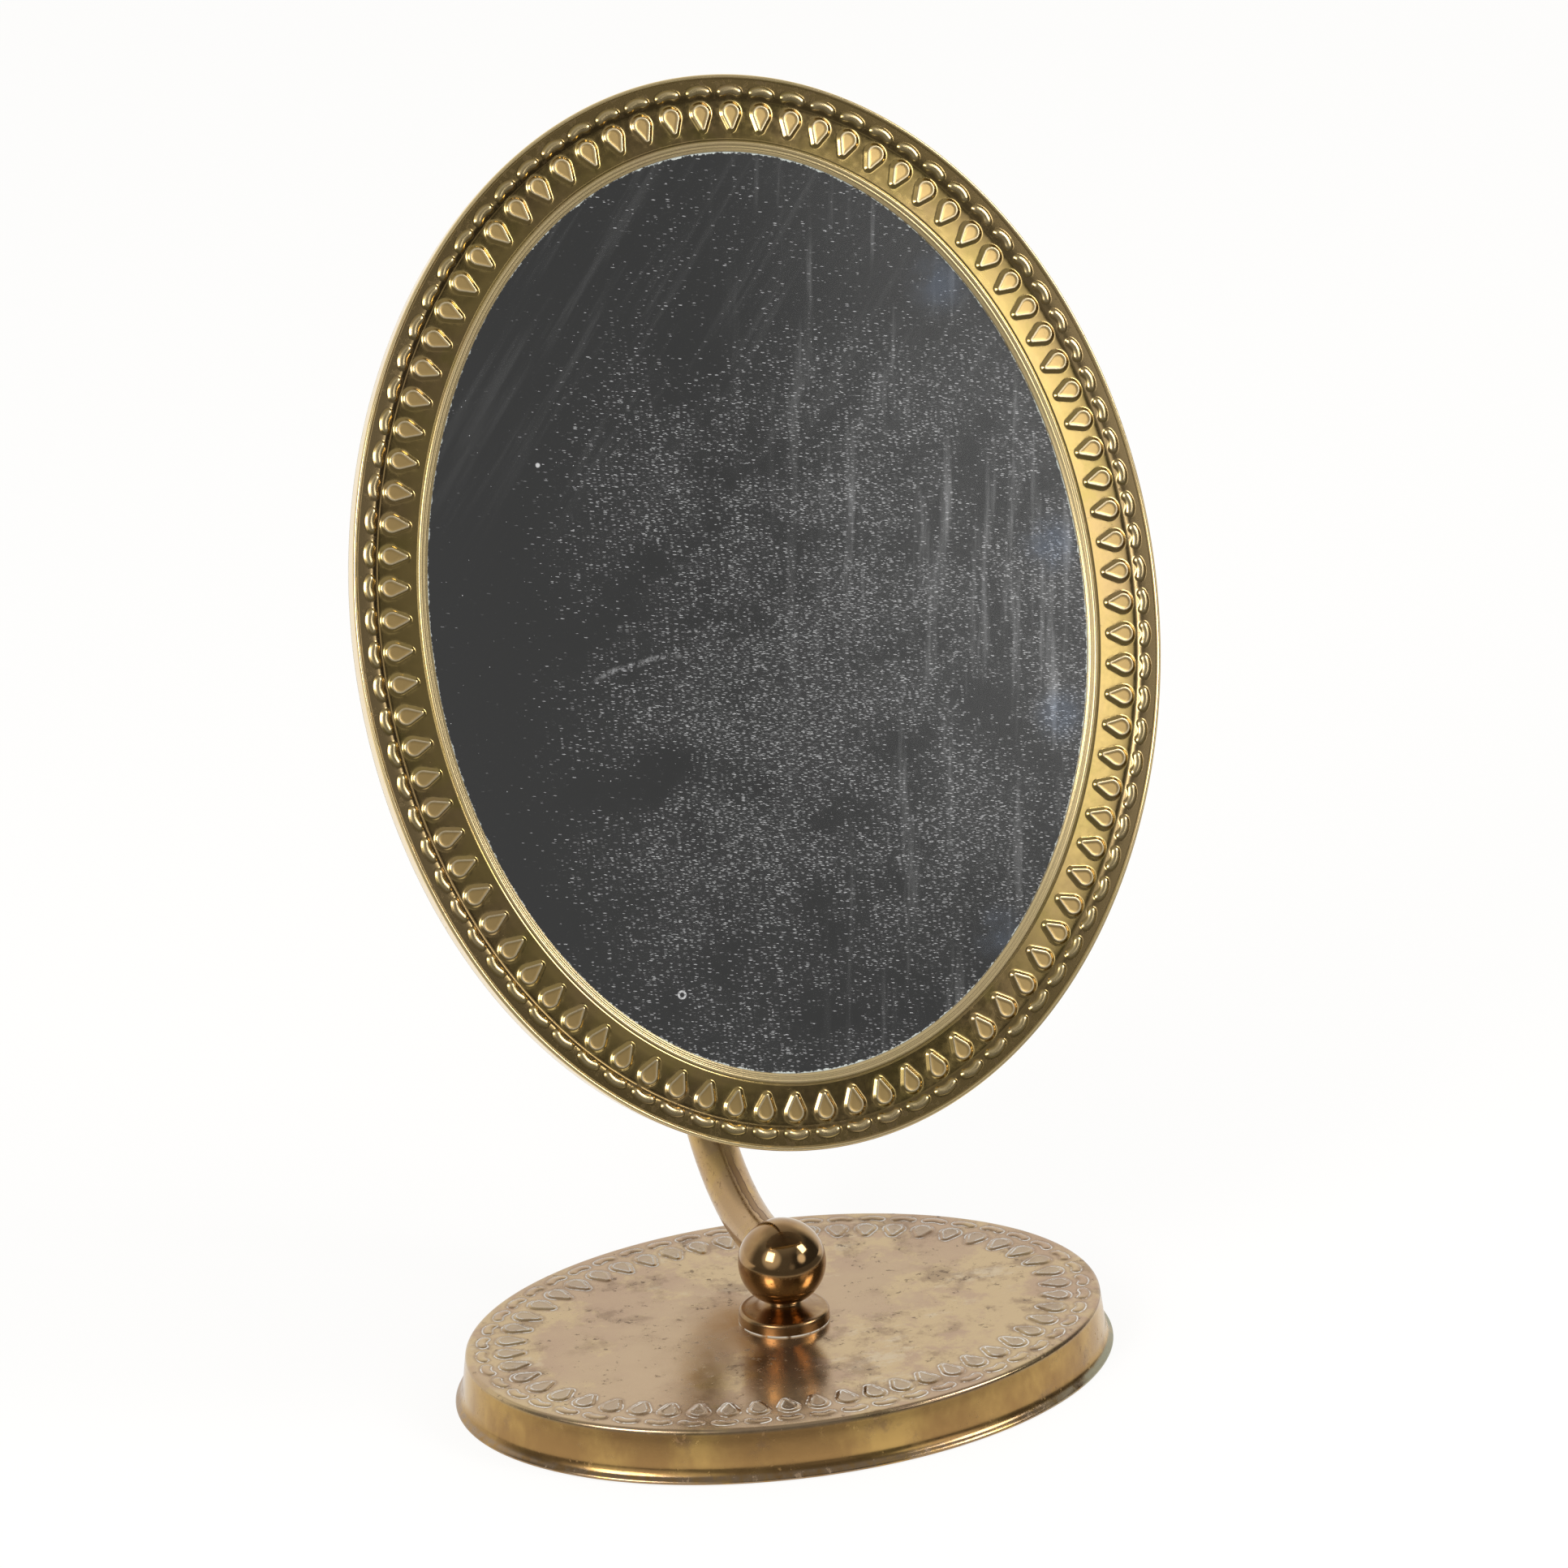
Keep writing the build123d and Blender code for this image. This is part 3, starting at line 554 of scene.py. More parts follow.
def makeBaseBrass():
    material, shader = startMaterial("tarnished base brass")
    s = baseBrass
    place = ownPlace()
    drop, crescent = pieceValue("dropGap"), pieceValue("crescentGap")
    inset = pieceValue("inset")
    split = axes(place)
    height = split["Z"]
    broad = noise(place, 16, 6, 0.62)
    middle = noise(place, 60, 8, 0.68)
    fine = noise(place, 380, 6, 0.65)
    colour = blendColour(fade(broad, 0.38, 0.6), s["tan"], s["rose"])
    # places rubbed bright, with clouded edges
    rub = plus(noise(place, 22, 7, 0.7), times(middle, 0.35))
    polished = fade(rub, 0.66, 0.76)
    colour = tint(colour, s["bare"], polished, 0.8)
    veil = fade(noise(place, 45, 8, 0.75, stretch=(0.7, 1.5, 1)), 0.56, 0.64)
    colour = tint(colour, s["pale"], times(veil, polished), 0.6)
    # cloudy brown stains and fine dark specks
    cloud = times(fade(middle, 0.5, 0.62), fade(broad, 0.4, 0.56))
    colour = tint(colour, s["brown"], cloud, 0.6)
    speck = fade(plus(fine, times(middle, 0.4)), 0.8, 0.9)
    colour = tint(colour, s["speck"], speck, 0.5)
    # browner skirt under the plate's edge
    wave = noise(place, 26, 5, 0.6, stretch=(1, 1, 0.6))
    skirt = blendColour(fade(wave, 0.42, 0.62), s["skirt"], s["skirtGold"])
    skirt = tint(skirt, s["brown"], fade(middle, 0.52, 0.68), 0.6)
    colour = tint(colour, skirt, fade(height, *s["skirtFrom"]))
    colour = tint(colour, s["floor"], fade(drop, *s["floorFrom"]), 0.6)
    # brown rim of tarnish round each mark
    mark = sums("MINIMUM", drop, crescent)
    colour = tint(colour, s["brown"], between(mark, s["rimRise"], s["rimFall"]), 0.45)
    # thin lime left along the marks
    patchy = fade(noise(place, 130, 5, 0.7), 0.42, 0.54)
    lime = larger(gapFade(mark, *s["limeOutline"]), gapFade(drop, *s["limeDish"]))
    for share in (patchy, fade(fine, 0.36, 0.52), fade(inset, *s["limeFrom"])):
        lime = times(lime, share)
    # brown foot, greenish at its right end
    low = fade(height, *s["footFrom"])
    colour = tint(colour, s["foot"], times(low, fade(fine, 0.3, 0.6)))
    green = times(low, fade(split["X"], *s["greenFrom"]))
    green = times(green, fade(middle, 0.3, 0.55))
    colour = tint(colour, s["green"], green, 0.8)
    colour = tint(colour, s["lime"], lime, 0.85)
    dull = larger(lime, times(green, 0.5))
    metallic = minus(blendValue(dull, 0.94, 0.1), times(speck, 0.3), clamp=True)
    rough = blendValue(fade(middle, 0.35, 0.7), s["rough"], s["roughClouds"])
    rough = blendValue(polished, rough, s["rough"])
    dirt = larger(dull, times(speck, 0.6))
    setLook(shader, colour, metallic, blendValue(dirt, rough, s["roughDirt"]))
    roughen(shader, plus(times(fine, 0.4), times(middle, 1.2)), 0.25, 0.00012)
    return material


baseShell = buildBase()
baseShell.data.materials.append(makeBaseBrass())
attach(baseShell, "stand")
print("base shell stamped")

# turned post: flange, neck and ball

postShape = {
    "ballRadius": 14.2, "ballHeight": 37.6, "neck": 5.45, "around": 160, "ballRows": 90,
    "profile": [(14.75, 17.5), (14.78, 18.0), (14.72, 19.2), (14.62, 20.6), (14.45, 21.1), (14.1, 21.5),
                (13.6, 21.68), (13.1, 21.7), (12.4, 21.75), (11.2, 21.95), (9.8, 22.2), (8.3, 22.45),
                (7.0, 22.9), (6.1, 23.5), (5.5, 24.15)],
}


def turnedMesh(name, profile, around):
    points = []
    for radius, z in profile:
        for i in range(around):
            a = 2 * math.pi * i / around
            points.append((radius * math.cos(a) * mm, radius * math.sin(a) * mm, z * mm))
    return makeMesh(name, points, gridFaces(len(profile), around))


def buildPost():
    s = postShape
    foot = smoothLine(s["profile"], 5)
    start = math.asin(s["neck"] / s["ballRadius"])
    ball = [(s["ballRadius"] * math.sin(a), s["ballHeight"] - s["ballRadius"] * math.cos(a))
            for a in np.linspace(start, math.pi - 0.002, s["ballRows"])]
    made = turnedMesh("ball_post_turned", list(map(tuple, foot)) + ball, s["around"])
    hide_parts("ball_post")
    return made


postBrass = {
    "polish": (0.41, 0.262, 0.118), "deep": (0.34, 0.2, 0.088), "stain": (0.2, 0.11, 0.06),
    "lime": (0.78, 0.76, 0.68), "rough": 0.075, "roughLime": 0.75,
    "flangeTo": (0.0246, 0.0228), "limeTo": (0.01815, 0.01775), "turningLines": 5200,
}


def makePostBrass():
    material, shader = startMaterial("polished post brass")
    s = postBrass
    place = ownPlace()
    cloud = noise(place, 90, 5, 0.6)
    fine = noise(place, 900, 4, 0.6)
    height = axes(place)["Z"]
    colour = blendColour(fade(cloud, 0.36, 0.64), s["polish"], s["deep"])
    speck = fade(plus(fine, times(cloud, 0.25)), 0.8, 0.88)
    flange = times(fade(height, *s["flangeTo"]), fade(cloud, 0.3, 0.55))
    colour = tint(colour, s["stain"], speck, 0.5)
    colour = tint(colour, s["stain"], flange, 0.3)
    # lime where the flange stands on the plate
    patchy = fade(noise(place, 300, 4, 0.6), 0.36, 0.5)
    lime = times(fade(height, *s["limeTo"]), patchy)
    colour = tint(colour, s["lime"], lime)
    rough = blendValue(fade(cloud, 0.3, 0.7), s["rough"], s["rough"] + 0.05)
    for share, more in ((speck, 0.25), (flange, 0.14)):
        rough = plus(rough, times(share, more))
    setLook(shader, colour, minus(1.0, lime), blendValue(lime, rough, s["roughLime"]))
    # fine turning lines round the axis
    turned = addNode("ShaderNodeTexNoise", {
        "Vector": addNode("ShaderNodeCombineXYZ", {"Z": height}).outputs[0],
        "Scale": s["turningLines"], "Detail": 2}).outputs["Fac"]
    roughen(shader, plus(turned, times(fine, 0.5)), 0.06, 0.00005)
    return material


ballPost = buildPost()
ballPost.data.materials.append(makePostBrass())
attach(ballPost, "stand")
print("ball post turned")

# bent tube arm: straight out of the back of the ball, one even bend, straight to the eye

armShape = {
    "radius": 7.5, "wall": 1.0, "start": 9.5, "back": 22.3, "bend": 80.0, "turn": 117.9, "toPivot": 96.7,
    "toEye": 20.0, "around": 72, "rows": (12, 90, 16),
}


def armLine():
    # back and up from the ball's middle in mm, with the turn there
    s = armShape
    turn = math.radians(s["turn"])
    places = [(y, 0.0, 0.0) for y in np.linspace(s["start"], s["back"], s["rows"][0], endpoint=False)]
    for a in np.linspace(0, turn, s["rows"][1], endpoint=False):
        places.append((s["back"] + s["bend"] * math.sin(a), s["bend"] * (1 - math.cos(a)), a))
    endY = s["back"] + s["bend"] * math.sin(turn)
    endZ = s["bend"] * (1 - math.cos(turn))
    for d in np.linspace(0, s["toPivot"] - s["toEye"], s["rows"][2]):
        places.append((endY + d * math.cos(turn), endZ + d * math.sin(turn), turn))
    return places


def buildArm():
    # rings along the tube, then its upper end turned in by the wall; the marks are mm across and along it
    s = armShape
    ball = Vector((0, 0, postShape["ballHeight"] * mm))
    rows = armLine()
    rings = [(row, s["radius"]) for row in rows]
    rings += [(row, s["radius"] - s["wall"]) for row in (rows[-1], rows[-2])]
    points, across, along = [], [], []
    passed, last = 0.0, rows[0]
    for (y, z, a), radius in rings:
        passed += math.hypot(y - last[0], z - last[1])
        last = (y, z)
        for i in range(s["around"]):
            w = 2 * math.pi * i / s["around"]
            sideways = radius * math.cos(w)
            normal = radius * math.sin(w)
            across.append(sideways if normal > 0 else 2 * radius)  # nothing on the lower side
            along.append(passed)
            back = Vector((0, y - normal * math.sin(a), 0))
            rise = uprightWay * (z + normal * math.cos(a))
            points.append(tuple(ball + (headAcross * sideways + back + rise) * mm))
    faces = [f[::-1] for f in gridFaces(len(rings), s["around"])]
    made = makeMesh("arm_tube_bent", points, faces, {"across": across, "along": along})
    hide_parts("arm_tube")
    return made


tubeBrass = {
    "tan": (0.52, 0.34, 0.135), "gold": (0.62, 0.43, 0.15), "rose": (0.46, 0.30, 0.15),
    "stain": (0.2, 0.11, 0.055), "dribble": (0.27, 0.15, 0.06),
    "rough": 0.21, "roughDribble": 0.36, "roughStain": 0.5,
    # mm across and along the tube, then metres up
    "dribbleAt": 0.6, "dribbleWaves": 2.4, "dribbleHalf": (1.3, 0.8), "dribbleEdge": (1.05, 0.32, 0.08),
    "dribbleTo": (58, 44), "upperLeftLitFrom": (0.06, 0.074),
}


def makeTubeBrass():
    material, shader = startMaterial("aged tube brass")
    s = tubeBrass
    place = ownPlace()
    cloud = noise(place, 48, 6, 0.65)
    fine = noise(place, 520, 6, 0.62)
    split = axes(place)
    # painted highlight: the upper and left part of the tube gold, the rest rose
    high = plus(split["Z"], times(split["X"], -0.9))
    upperLeftLit = fade(plus(high, times(cloud, 0.012)), *s["upperLeftLitFrom"])
    colour = blendColour(upperLeftLit, s["rose"], s["gold"])
    colour = tint(colour, s["tan"], fade(noise(place, 85, 5, 0.6), 0.45, 0.68))
    speck = fade(plus(fine, times(cloud, 0.35)), 0.78, 0.88)
    drips = fade(noise(place, 170, 5, 0.7, stretch=(1, 0.35, 1)), 0.6, 0.72)
    # brown dribble down the upper side, with darker edges
    trail = minus(pieceValue("across"), s["dribbleAt"])
    waves = times(minus(noise(place, 130, 5, 0.65), 0.5), s["dribbleWaves"])
    trail = sums("ABSOLUTE", plus(trail, waves))
    reach = fade(pieceValue("along"), *s["dribbleTo"])
    dribble = times(fade(trail, *s["dribbleHalf"]), reach)
    edge = times(gapFade(trail, *s["dribbleEdge"]), reach)
    colour = tint(colour, s["dribble"], dribble, 0.7)
    dirt = larger(times(speck, 0.6), times(drips, 0.4))
    dirt = larger(dirt, times(edge, 0.8))
    colour = tint(colour, s["stain"], dirt)
    rough = blendValue(fade(fine, 0.3, 0.7), s["rough"] - 0.04, s["rough"] + 0.06)
    rough = blendValue(dribble, rough, s["roughDribble"])
    setLook(shader, colour, blendValue(dirt, 0.97, 0.75), blendValue(dirt, rough, s["roughStain"]))
    roughen(shader, fine, 0.08, 0.00006)
    return material


armTube = buildArm()
armTube.data.materials.append(makeTubeBrass())
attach(armTube, "stand")
print("arm tube bent")

# mirror pane with haze, dust, wiping marks and chipped edge; places are mm from its middle, right and up

paneLook = {
    "silver": (0.78, 0.78, 0.77), "dust": (0.86, 0.86, 0.86), "blue": (0.55, 0.66, 0.85),
    "chip": (0.74, 0.80, 0.76), "rough": 0.03, "roughChip": 0.35,
    "halfX": 108.5, "halfY": 145.7, "edgeScale": 118.0, "chipDepth": 2.6,
    "dashes": ((2.3, 0.55, 311.3), (1.5, 0.42, 457.1)), "dashSlope": 0.16,  # wide, high, shift
    "leftBare": (-85, -15), "topBare": (105, 35), "lowThin": (-60, -125),
    "hazeRight": (-20, 95), "hazeUp": (-150, -20), "strokesFrom": (10, 90), "wipedFrom": (-10, 45),
    "strokeTurn": -52, "wipedTurn": -82,  # degrees
    # right, up, inner and outer reach
    "blueAt": ((98.3, 12.1, 2, 13.0), (95.5, -42.3, 1, 12.0), (66.2, -109.3, 1, 12.0),
               (72.0, 98.0, 1, 14.0)),
    "flake": (-67.4, 52.7, 0.5, 0.9), "curl": (-43.0, -10.0, 9, 19),
    "ring": (-41.0, -116.7), "ringLine": (1.1, 0.5, 0.1),
}


def makePane():
    material, shader = startMaterial("dusty mirror pane")
    s = paneLook
    place = addNode("ShaderNodeMapping", {"Vector": ownPlace(), "Location": headMiddle,
                                                "Rotation": headTurn}, vector_type="TEXTURE").outputs[0]
    place = waySums("MULTIPLY", place, (1 / mm, 1 / mm, 0))
    split = axes(place)
    x, y = split["X"], split["Y"]

    def near(spotX, spotY, inner, outer):
        return fade(waySums("DISTANCE", place, (spotX, spotY, 0)), outer, inner)

    # fine dashes of dust, thick over the middle and the right, thin at the top and on the left
    grainPlace = waySums("ADD", place, (531.7, 377.3, 97.1))
    cloud = noise(grainPlace, 0.022, 5, 0.62)
    smallCloud = noise(grainPlace, 0.06, 6, 0.65)
    density = fade(plus(x, times(y, -0.1)), *s["leftBare"])
    density = times(density, blendValue(fade(y, *s["topBare"]), 0.15, 1.0))
    density = times(density, blendValue(fade(y, *s["lowThin"]), 1.0, 0.55))
    patchy = plus(times(cloud, 1.6), times(smallCloud, 1.0))
    density = times(density, fade(patchy, 0.95, 1.45), clamp=True)
    slope = addNode("ShaderNodeCombineXYZ", {"X": x, "Y": plus(y, times(x, s["dashSlope"]))})

    def dashes(wide, high, shift):
        # one short dash in each cell of this size, in as many cells as the dust is dense
        cellPlace = waySums("ADD", slope.outputs[0], (shift, shift * 1.7, 0))
        cellPlace = waySums("MULTIPLY", cellPlace, (1 / wide, 1 / high, 1))
        cells = addNode("ShaderNodeTexVoronoi", {"Vector": cellPlace, "Scale": 1.0},
                        voronoi_dimensions="2D")
        chance = addNode("ShaderNodeSeparateColor", {"Color": cells.outputs["Color"]}).outputs
        spot = fade(cells.outputs["Distance"], 0.36, 0.16)
        there = fade(plus(chance["Red"], times(density, 0.9)), 0.98, 1.02)
        return times(times(spot, there), sums("POWER", chance["Green"], 3.0))

    dust = times(larger(*(dashes(*sizes) for sizes in s["dashes"])), 0.46)
    sparkle = times(fade(noise(grainPlace, 1.3, 1, 0.5), 0.78, 0.84), 0.6)
    # haze and long wiping strokes, upper part slanted, right part nearly upright
    rightHaze = times(fade(x, *s["hazeRight"]), fade(y, *s["hazeUp"]))
    haze = plus(times(density, 0.012), times(rightHaze, 0.04))

    def strokes(turn, wide, low, high):
        turned = addNode("ShaderNodeMapping", {"Vector": grainPlace, "Rotation": (0, 0, math.radians(turn))})
        return fade(noise(turned.outputs[0], 1.0, 4, 0.6, stretch=(0.012, wide, 1)), low, high)

    slanted = times(strokes(s["strokeTurn"], 0.22, 0.5, 0.72), fade(y, *s["strokesFrom"]))
    upright = times(strokes(s["wipedTurn"], 0.16, 0.52, 0.75), fade(x, *s["wipedFrom"]))
    smear = plus(times(slanted, 0.02), times(upright, 0.11))
    blue = near(*s["blueAt"][0])
    for spot in s["blueAt"][1:]:
        blue = larger(blue, near(*spot))
    blue = times(blue, fade(smallCloud, 0.3, 0.6))
    # small marks: a broken ring, a flake and a wiped curl
    ring = gapFade(waySums("DISTANCE", place, (*s["ring"], 0)), *s["ringLine"])
    ring = times(ring, fade(noise(grainPlace, 0.7, 2, 0.5), 0.35, 0.5))
    marks = larger(ring, near(*s["flake"]))
    wave = times(sums("SINE", times(x, 0.19)), 1.6)
    bow = times(sums("POWER", sums("ABSOLUTE", plus(x, 38)), 1.6), -0.07)
    curlGap = minus(minus(y, s["curl"][1]), plus(wave, bow))
    curl = fade(sums("ABSOLUTE", curlGap), 1.5, 0.1)
    curl = times(curl, near(*s["curl"]))
    curl = times(curl, fade(noise(place, 0.5, 4, 0.7), 0.42, 0.62))
    dust = plus(plus(dust, sparkle), plus(haze, smear))
    dust = plus(dust, times(blue, 0.05))
    for share, strength in ((marks, 0.6), (curl, 0.22)):
        dust = larger(dust, times(share, strength))
    # chipped pale line where the pane meets the frame
    oval = sums("SQRT", plus(*(sums("POWER", sums("DIVIDE", way, half), 2.0)
                               for way, half in ((x, s["halfX"]), (y, s["halfY"])))))
    toEdge = times(minus(1.0, oval), s["edgeScale"])
    ragged = times(minus(noise(grainPlace, 0.55, 5, 0.7), 0.46), s["chipDepth"])
    chip = fade(minus(toEdge, ragged), 0.3, 0.0)
    colour = blendColour(fade(dust, 0.02, 0.2), s["silver"], s["dust"])
    colour = tint(colour, s["blue"], blue, 0.6)
    colour = tint(colour, s["chip"], chip)
    clean = minus(1.0, larger(dust, times(chip, 0.85)), clamp=True)
    rough = plus(s["rough"], times(plus(haze, smear), 0.6))
    setLook(shader, colour, clean, blendValue(chip, rough, s["roughChip"]))
    return material


def dressNode(name, material):
    mesh = frame["nodes"][name].data
    mesh.materials.clear()
    mesh.materials.append(material)


dressNode("mirror_glass", makePane())
print("mirror pane silvered")

# back sheet, hinge and the small parts

backPaint = {"brown": (0.055, 0.036, 0.024), "pale": (0.11, 0.08, 0.055), "dust": (0.22, 0.19, 0.16),
             "rough": 0.42, "roughScuff": 0.65}


def makeBackPaint():
    material, shader = startMaterial("brown back paint")
    s = backPaint
    place = ownPlace()
    cloud = noise(place, 30, 5, 0.6)
    orangePeel = noise(place, 900, 3, 0.5)
    scuff = fade(noise(place, 140, 6, 0.7, stretch=(1, 0.25, 0.25)), 0.62, 0.72)
    colour = blendColour(fade(cloud, 0.35, 0.65), s["brown"], s["pale"])
    setLook(shader, tint(colour, s["dust"], scuff, 0.4), 0.0, blendValue(scuff, s["rough"], s["roughScuff"]))
    roughen(shader, orangePeel, 0.25, 0.0001)
    return material


def makeWornMetal(name, light, dark, rough, scale, stretch, metallic=1.0):
    # turned, rolled or plated metal with drawn lines and dull spots
    material, shader = startMaterial(name)
    place = ownPlace()
    cloud = noise(place, scale, 5, 0.6)
    lines = noise(place, 1500, 3, 0.5, stretch=stretch)
    spots = fade(noise(place, scale * 7, 5, 0.65), 0.6, 0.72)
    colour = blendColour(fade(cloud, 0.35, 0.65), light, dark)
    colour = tint(colour, [c * 0.35 for c in light], spots, 0.45)
    lined = blendValue(lines, rough - 0.06, rough + 0.1)
    setLook(shader, colour, metallic, blendValue(spots, lined, min(1.0, rough + 0.3)))
    roughen(shader, lines, 0.15, 0.00005)
    return material


def makeFibrous(name, light, dark, scale, stretch, depth, rough):
    # pressed board, card, fibre and felt
    material, shader = startMaterial(name)
    place = ownPlace()
    fibres = noise(place, scale, 8, 0.7, stretch=stretch)
    cloud = noise(place, scale / 30, 4, 0.6)
    colour = blendColour(fade(fibres, 0.3, 0.7), dark, light)
    colour = tint(colour, dark, fade(cloud, 0.4, 0.7), 0.35)
    setLook(shader, colour, 0.0, rough)
    roughen(shader, fibres, 0.6, depth)
    return material


# light and dark colour, roughness, size of the clouds, stretch of the drawn lines
smallMetals = {
    "turned brass": ((0.68, 0.50, 0.24), (0.54, 0.37, 0.17), 0.2, 120, (1, 1, 1)),
    "rolled bracket brass": ((0.62, 0.46, 0.23), (0.45, 0.31, 0.15), 0.3, 60, (1, 0.1, 0.1)),
    "plated steel": ((0.56, 0.56, 0.55), (0.42, 0.42, 0.41), 0.32, 150, (1, 1, 0.2)),
    "cast ballast iron": ((0.10, 0.10, 0.10), (0.06, 0.058, 0.055), 0.6, 60, (1, 1, 1), 0.6),
    "mirror silver": ((0.8, 0.8, 0.81), (0.7, 0.7, 0.72), 0.12, 90, None),
}
# light and dark colour, size and stretch of the fibres, their depth in metres, roughness
smallFibres = {
    "pressed board": ((0.36, 0.25, 0.15), (0.2, 0.13, 0.075), 500, (1, 1, 0.3), 0.0002, 0.8),
    "red fibre": ((0.36, 0.09, 0.055), (0.22, 0.045, 0.03), 900, None, 0.0001, 0.6),
}
smallParts = {
    "brown back paint": ["back_plate"],
    "turned brass": ["arm_plug", "arm_eye", "bracket_rivets", "pivot_screw", "thumb_nut"],
    "rolled bracket brass": ["hinge_bracket"],
    "plated steel": ["post_bolt", "post_washer", "post_spring_washer", "cover_screws", "pivot_washer"],
    "cast ballast iron": ["base_weight"],
    "pressed board": ["base_cover", "glass_packing"],
    "red fibre": ["friction_washers"],
    "mirror silver": ["mirror_silver"],
}
finishes = {name: makeWornMetal(name, *look) for name, look in smallMetals.items()}
finishes.update({name: makeFibrous(name, *look) for name, look in smallFibres.items()})
finishes["brown back paint"] = makeBackPaint()
for finish, names in smallParts.items():
    for name in names:
        dressNode(name, finishes[finish])

# felt under the base: a soft thin pad with a rounded, slightly uneven edge

feltPad = {
    "halfX": 104.4, "halfY": 76.4, "thick": 1.0, "round": 0.45, "uneven": 0.12, "setIn": 0.35,
    "middle": 30, "columns": 360, "seed": 7,
    "light": (0.07, 0.15, 0.09), "dark": (0.03, 0.075, 0.045),
}


def buildFelt():
    s = feltPad
    half, columns = s["thick"] / 2, s["columns"]
    section = [(s["middle"], 0.0), (half + 0.01, 0.0)]
    section += [(s["round"] * (1 - math.cos(a)), half - half * math.sin(a))
                for a in np.linspace(math.pi / 2, -math.pi / 2, 9)]
    section += [(s["middle"], s["thick"])]
    rng = np.random.default_rng(s["seed"])
    turn = np.linspace(0, 2 * np.pi, columns, endpoint=False)
    ragged = np.tile(rng.normal(0, s["uneven"], columns), 3)
    ragged = np.convolve(ragged, np.ones(5) / 5, "same")[columns:2 * columns]
    points = []
    for inset, z in section:
        shrink = inset + s["setIn"] + np.abs(ragged)
        points.append(np.stack([(s["halfX"] - shrink) * np.cos(turn), (s["halfY"] - shrink) * np.sin(turn),
                                np.full(columns, z)], 1))
    points = np.vstack(points + [[(0, 0, 0.0)], [(0, 0, s["thick"])]])
    count = len(section)
    faces = gridFaces(count, columns)
    top, foot = (count - 1) * columns, count * columns  # last row, middle point of the underside
    for c in range(columns):
        d = (c + 1) % columns
        faces.append((c, foot, d))
        faces.append((top + c, top + d, foot + 1))
    made = makeMesh("base_felt_pad", points * mm, faces)
    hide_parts("base_felt")
    return made


feltPiece = buildFelt()
greenFelt = makeFibrous("green felt", feltPad["light"], feltPad["dark"], 1400, None, 0.0003, 0.95)
feltPiece.data.materials.append(greenFelt)
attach(feltPiece, "stand")
print("back, hinge and small parts dressed")

# floor, world, lamps and camera; lengths in metres, turns and rises in degrees

studio = {
    "floorHalf": 5.0, "floor": (0.80, 0.79, 0.775), "floorShade": 0.96, "floorShow": 0.82, "floorGlow": 1.06,
    "glowColour": (1, 0.995, 0.985, 1), "floorFront": (0.115, 0.24), "floorFrontY": (0.12, 0.02),
    "floorDark": 0.14,
    "fill": 0.7, "front": 0.054, "frontLeft": 0.15, "left": 0.16, "right": 0.06, "above": 0.3,
    "behind": 1.0, "highBehind": 0.55, "behindLeft": 0.88,
    # turn, rise, distance, width, height, power
    "lamps": {"left softbox": (-55.0, 31.0, 2.0, 0.7, 0.8, 14.0),
              "right softbox": (58.0, 36.0, 2.0, 0.6, 0.7, 11.0)},
    "lampAim": (0.0, 0.0, 0.12),
    # softly lit places on the walls: turn, rise, strength, how far they are full and where they end
    "glows": ((39.0, 20.0, 1.55, 4.0, 14.5), (41.0, 33.0, 0.35, 3.0, 12.0),
              (7.0, 7.0, 0.3, 2.0, 11.0), (-50.0, 28.0, 0.9, 14.0, 32.0)),
}


def makeFloor():
    half = studio["floorHalf"]
    corners = [(-half, -half, 0), (half, -half, 0), (half, half, 0), (-half, half, 0)]
    made = makeMesh("floor", corners, [(0, 1, 2, 3)], smooth=False)
    material, shader = startMaterial("pale floor")
    place = ownPlace()
    shade = [c * studio["floorShade"] for c in studio["floor"]]
    setLook(shader, blendColour(times(noise(place, 6, 4), 0.2), studio["floor"], shade), 0.0, 0.9)
    shader.inputs["Specular IOR Level"].default_value = 0.1
    # metal sees the dark room in place of the floor in front of the base
    rays = addNode("ShaderNodeLightPath").outputs
    away = waySums("LENGTH", waySums("MULTIPLY", place, (1, 1.3, 0)))
    front = fade(away, *studio["floorFront"])
    front = times(front, fade(axes(place)["Y"], *studio["floorFrontY"]))
    front = times(front, rays["Is Glossy Ray"])
    strength = blendValue(front, studio["floorGlow"], studio["floorDark"])
    glow = addNode("ShaderNodeEmission", {"Color": studio["glowColour"], "Strength": strength})
    seen = larger(rays["Is Camera Ray"],
                  larger(rays["Is Glossy Ray"], rays["Is Transmission Ray"]))
    share = times(seen, blendValue(front, studio["floorShow"], 1.0))
    mixed = addNode("ShaderNodeMixShader", {0: share, 1: shader.outputs[0], 2: glow.outputs[0]})
    setInput(openTree["nodes"]["Material Output"].inputs["Surface"], mixed.outputs[0])
    made.data.materials.append(material)


def wayTo(turn, rise):
    t, r = math.radians(turn), math.radians(rise)
    return Vector((math.sin(t) * math.cos(r), -math.cos(t) * math.cos(r), math.sin(r)))


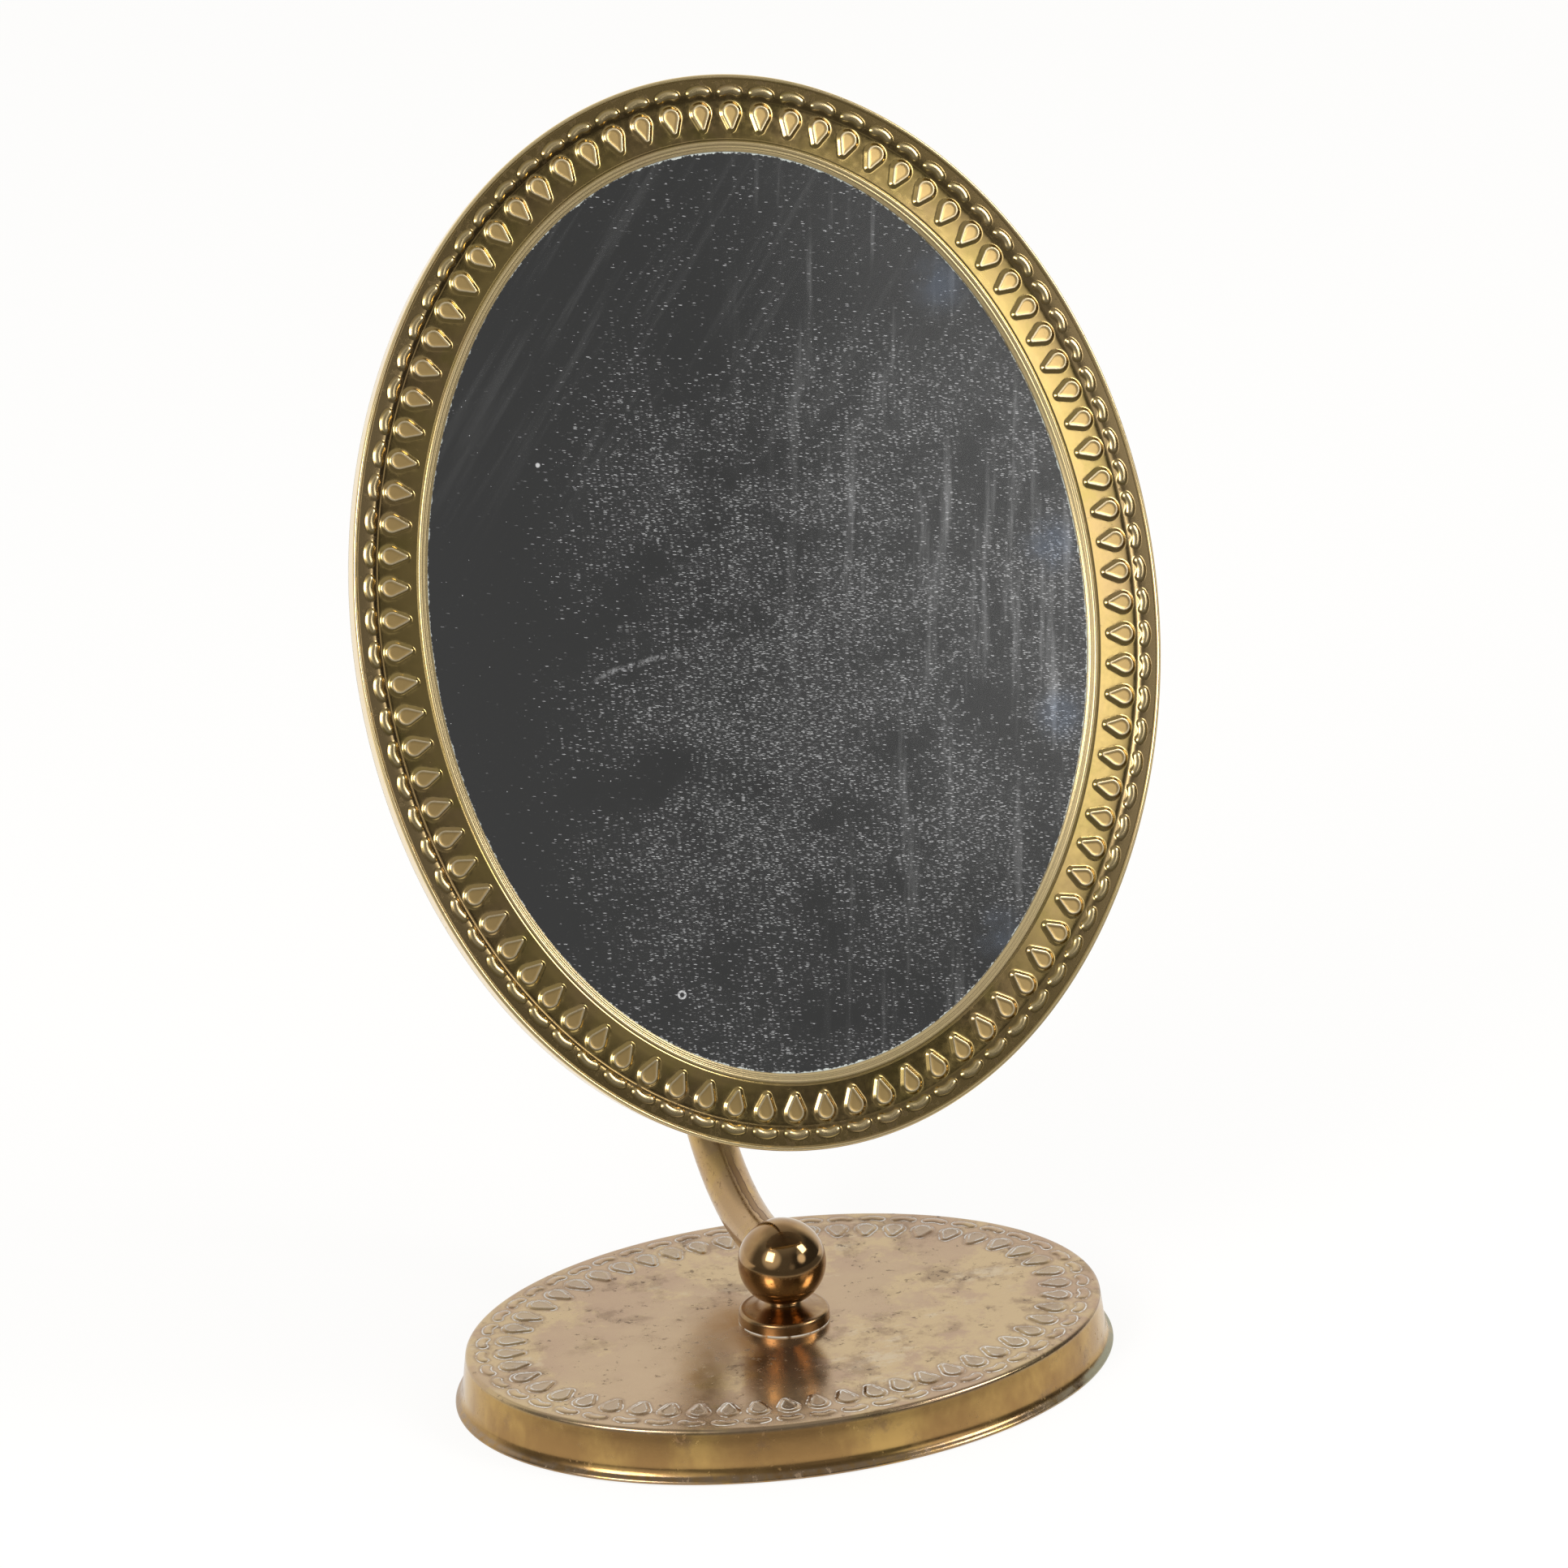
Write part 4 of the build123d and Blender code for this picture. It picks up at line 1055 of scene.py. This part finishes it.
def makeWorld():
    # white all round for the camera; polished parts see it behind the object and a dark room in front
    world = bpy.data.worlds.new("studio")
    bpy.context.scene.world = world
    startTree(world)
    openTree["nodes"].clear()
    direction = addNode("ShaderNodeTexCoord").outputs["Generated"]
    split = axes(direction)
    x, y, z = (split[k] for k in "XYZ")
    room = blendValue(fade(x, 0.34, 0.05), studio["front"], studio["frontLeft"])
    for share, wall in ((fade(x, -0.35, -0.9), "left"), (fade(x, 0.55, 0.95), "right"),
                        (fade(z, 0.5, 0.9), "above")):
        room = blendValue(share, room, studio[wall])
    screen = blendValue(fade(z, 0.5, 0.8), studio["behind"], studio["highBehind"])
    screen = blendValue(fade(x, -0.2, -0.65), screen, studio["behindLeft"])
    room = blendValue(fade(y, 0.15, 0.6), room, screen)
    for turn, rise, bright, full, end in studio["glows"]:
        toGlow = waySums("DOT_PRODUCT", direction, wayTo(turn, rise))
        near = fade(toGlow, math.cos(math.radians(end)), math.cos(math.radians(full)))
        room = larger(room, times(near, bright))
    rays = addNode("ShaderNodeLightPath").outputs
    strength = blendValue(rays["Is Diffuse Ray"], 1.0, studio["fill"])
    strength = blendValue(rays["Is Glossy Ray"], strength, room)
    back = addNode("ShaderNodeBackground", {"Color": (1, 1, 1, 1), "Strength": strength})
    addNode("ShaderNodeOutputWorld", {"Surface": back.outputs[0]})


def makeLamps():
    aim = Vector(studio["lampAim"])
    for name, (turn, rise, far, wide, high, power) in studio["lamps"].items():
        way = wayTo(turn, rise)
        light = bpy.data.lights.new(name, "AREA")
        light.shape = "RECTANGLE"
        light.size, light.size_y = wide, high
        light.energy = power
        made = bpy.data.objects.new(name, light)
        made.location = aim + way * far
        made.rotation_euler = (-way).to_track_quat("-Z", "Y").to_euler()
        bpy.context.scene.collection.objects.link(made)


# place in metres, turn, down and roll in radians, film in mm, focal length in pixels of a photo this wide
cameraLook = {"place": (-0.749802, -2.239129, 1.125899), "turn": -0.326, "down": 0.373, "roll": -0.040,
              "focal": 9971.863, "photo": 1932, "film": 36}


def makeCamera():
    look = cameraLook
    ct, st = math.cos(look["turn"]), math.sin(look["turn"])
    cd, sd = math.cos(look["down"]), math.sin(look["down"])
    cr, sr = math.cos(look["roll"]), math.sin(look["roll"])
    forward = Vector((-st * cd, ct * cd, -sd))
    level = Vector((ct, st, 0))
    steep = level.cross(forward)
    right, up = level * cr + steep * sr, steep * cr - level * sr
    data = bpy.data.cameras.new("camera")
    data.lens = look["focal"] / look["photo"] * look["film"]
    data.sensor_width = look["film"]
    data.clip_start, data.clip_end = 0.05, 50
    made = bpy.data.objects.new("camera", data)
    turned = Matrix((right, up, -forward)).transposed().to_4x4()
    made.matrix_world = Matrix.Translation(look["place"]) @ turned
    bpy.context.scene.collection.objects.link(made)
    bpy.context.scene.camera = made


makeFloor()
makeWorld()
makeLamps()
makeCamera()
bpy.context.scene.view_settings.view_transform = "Standard"
print("studio set")
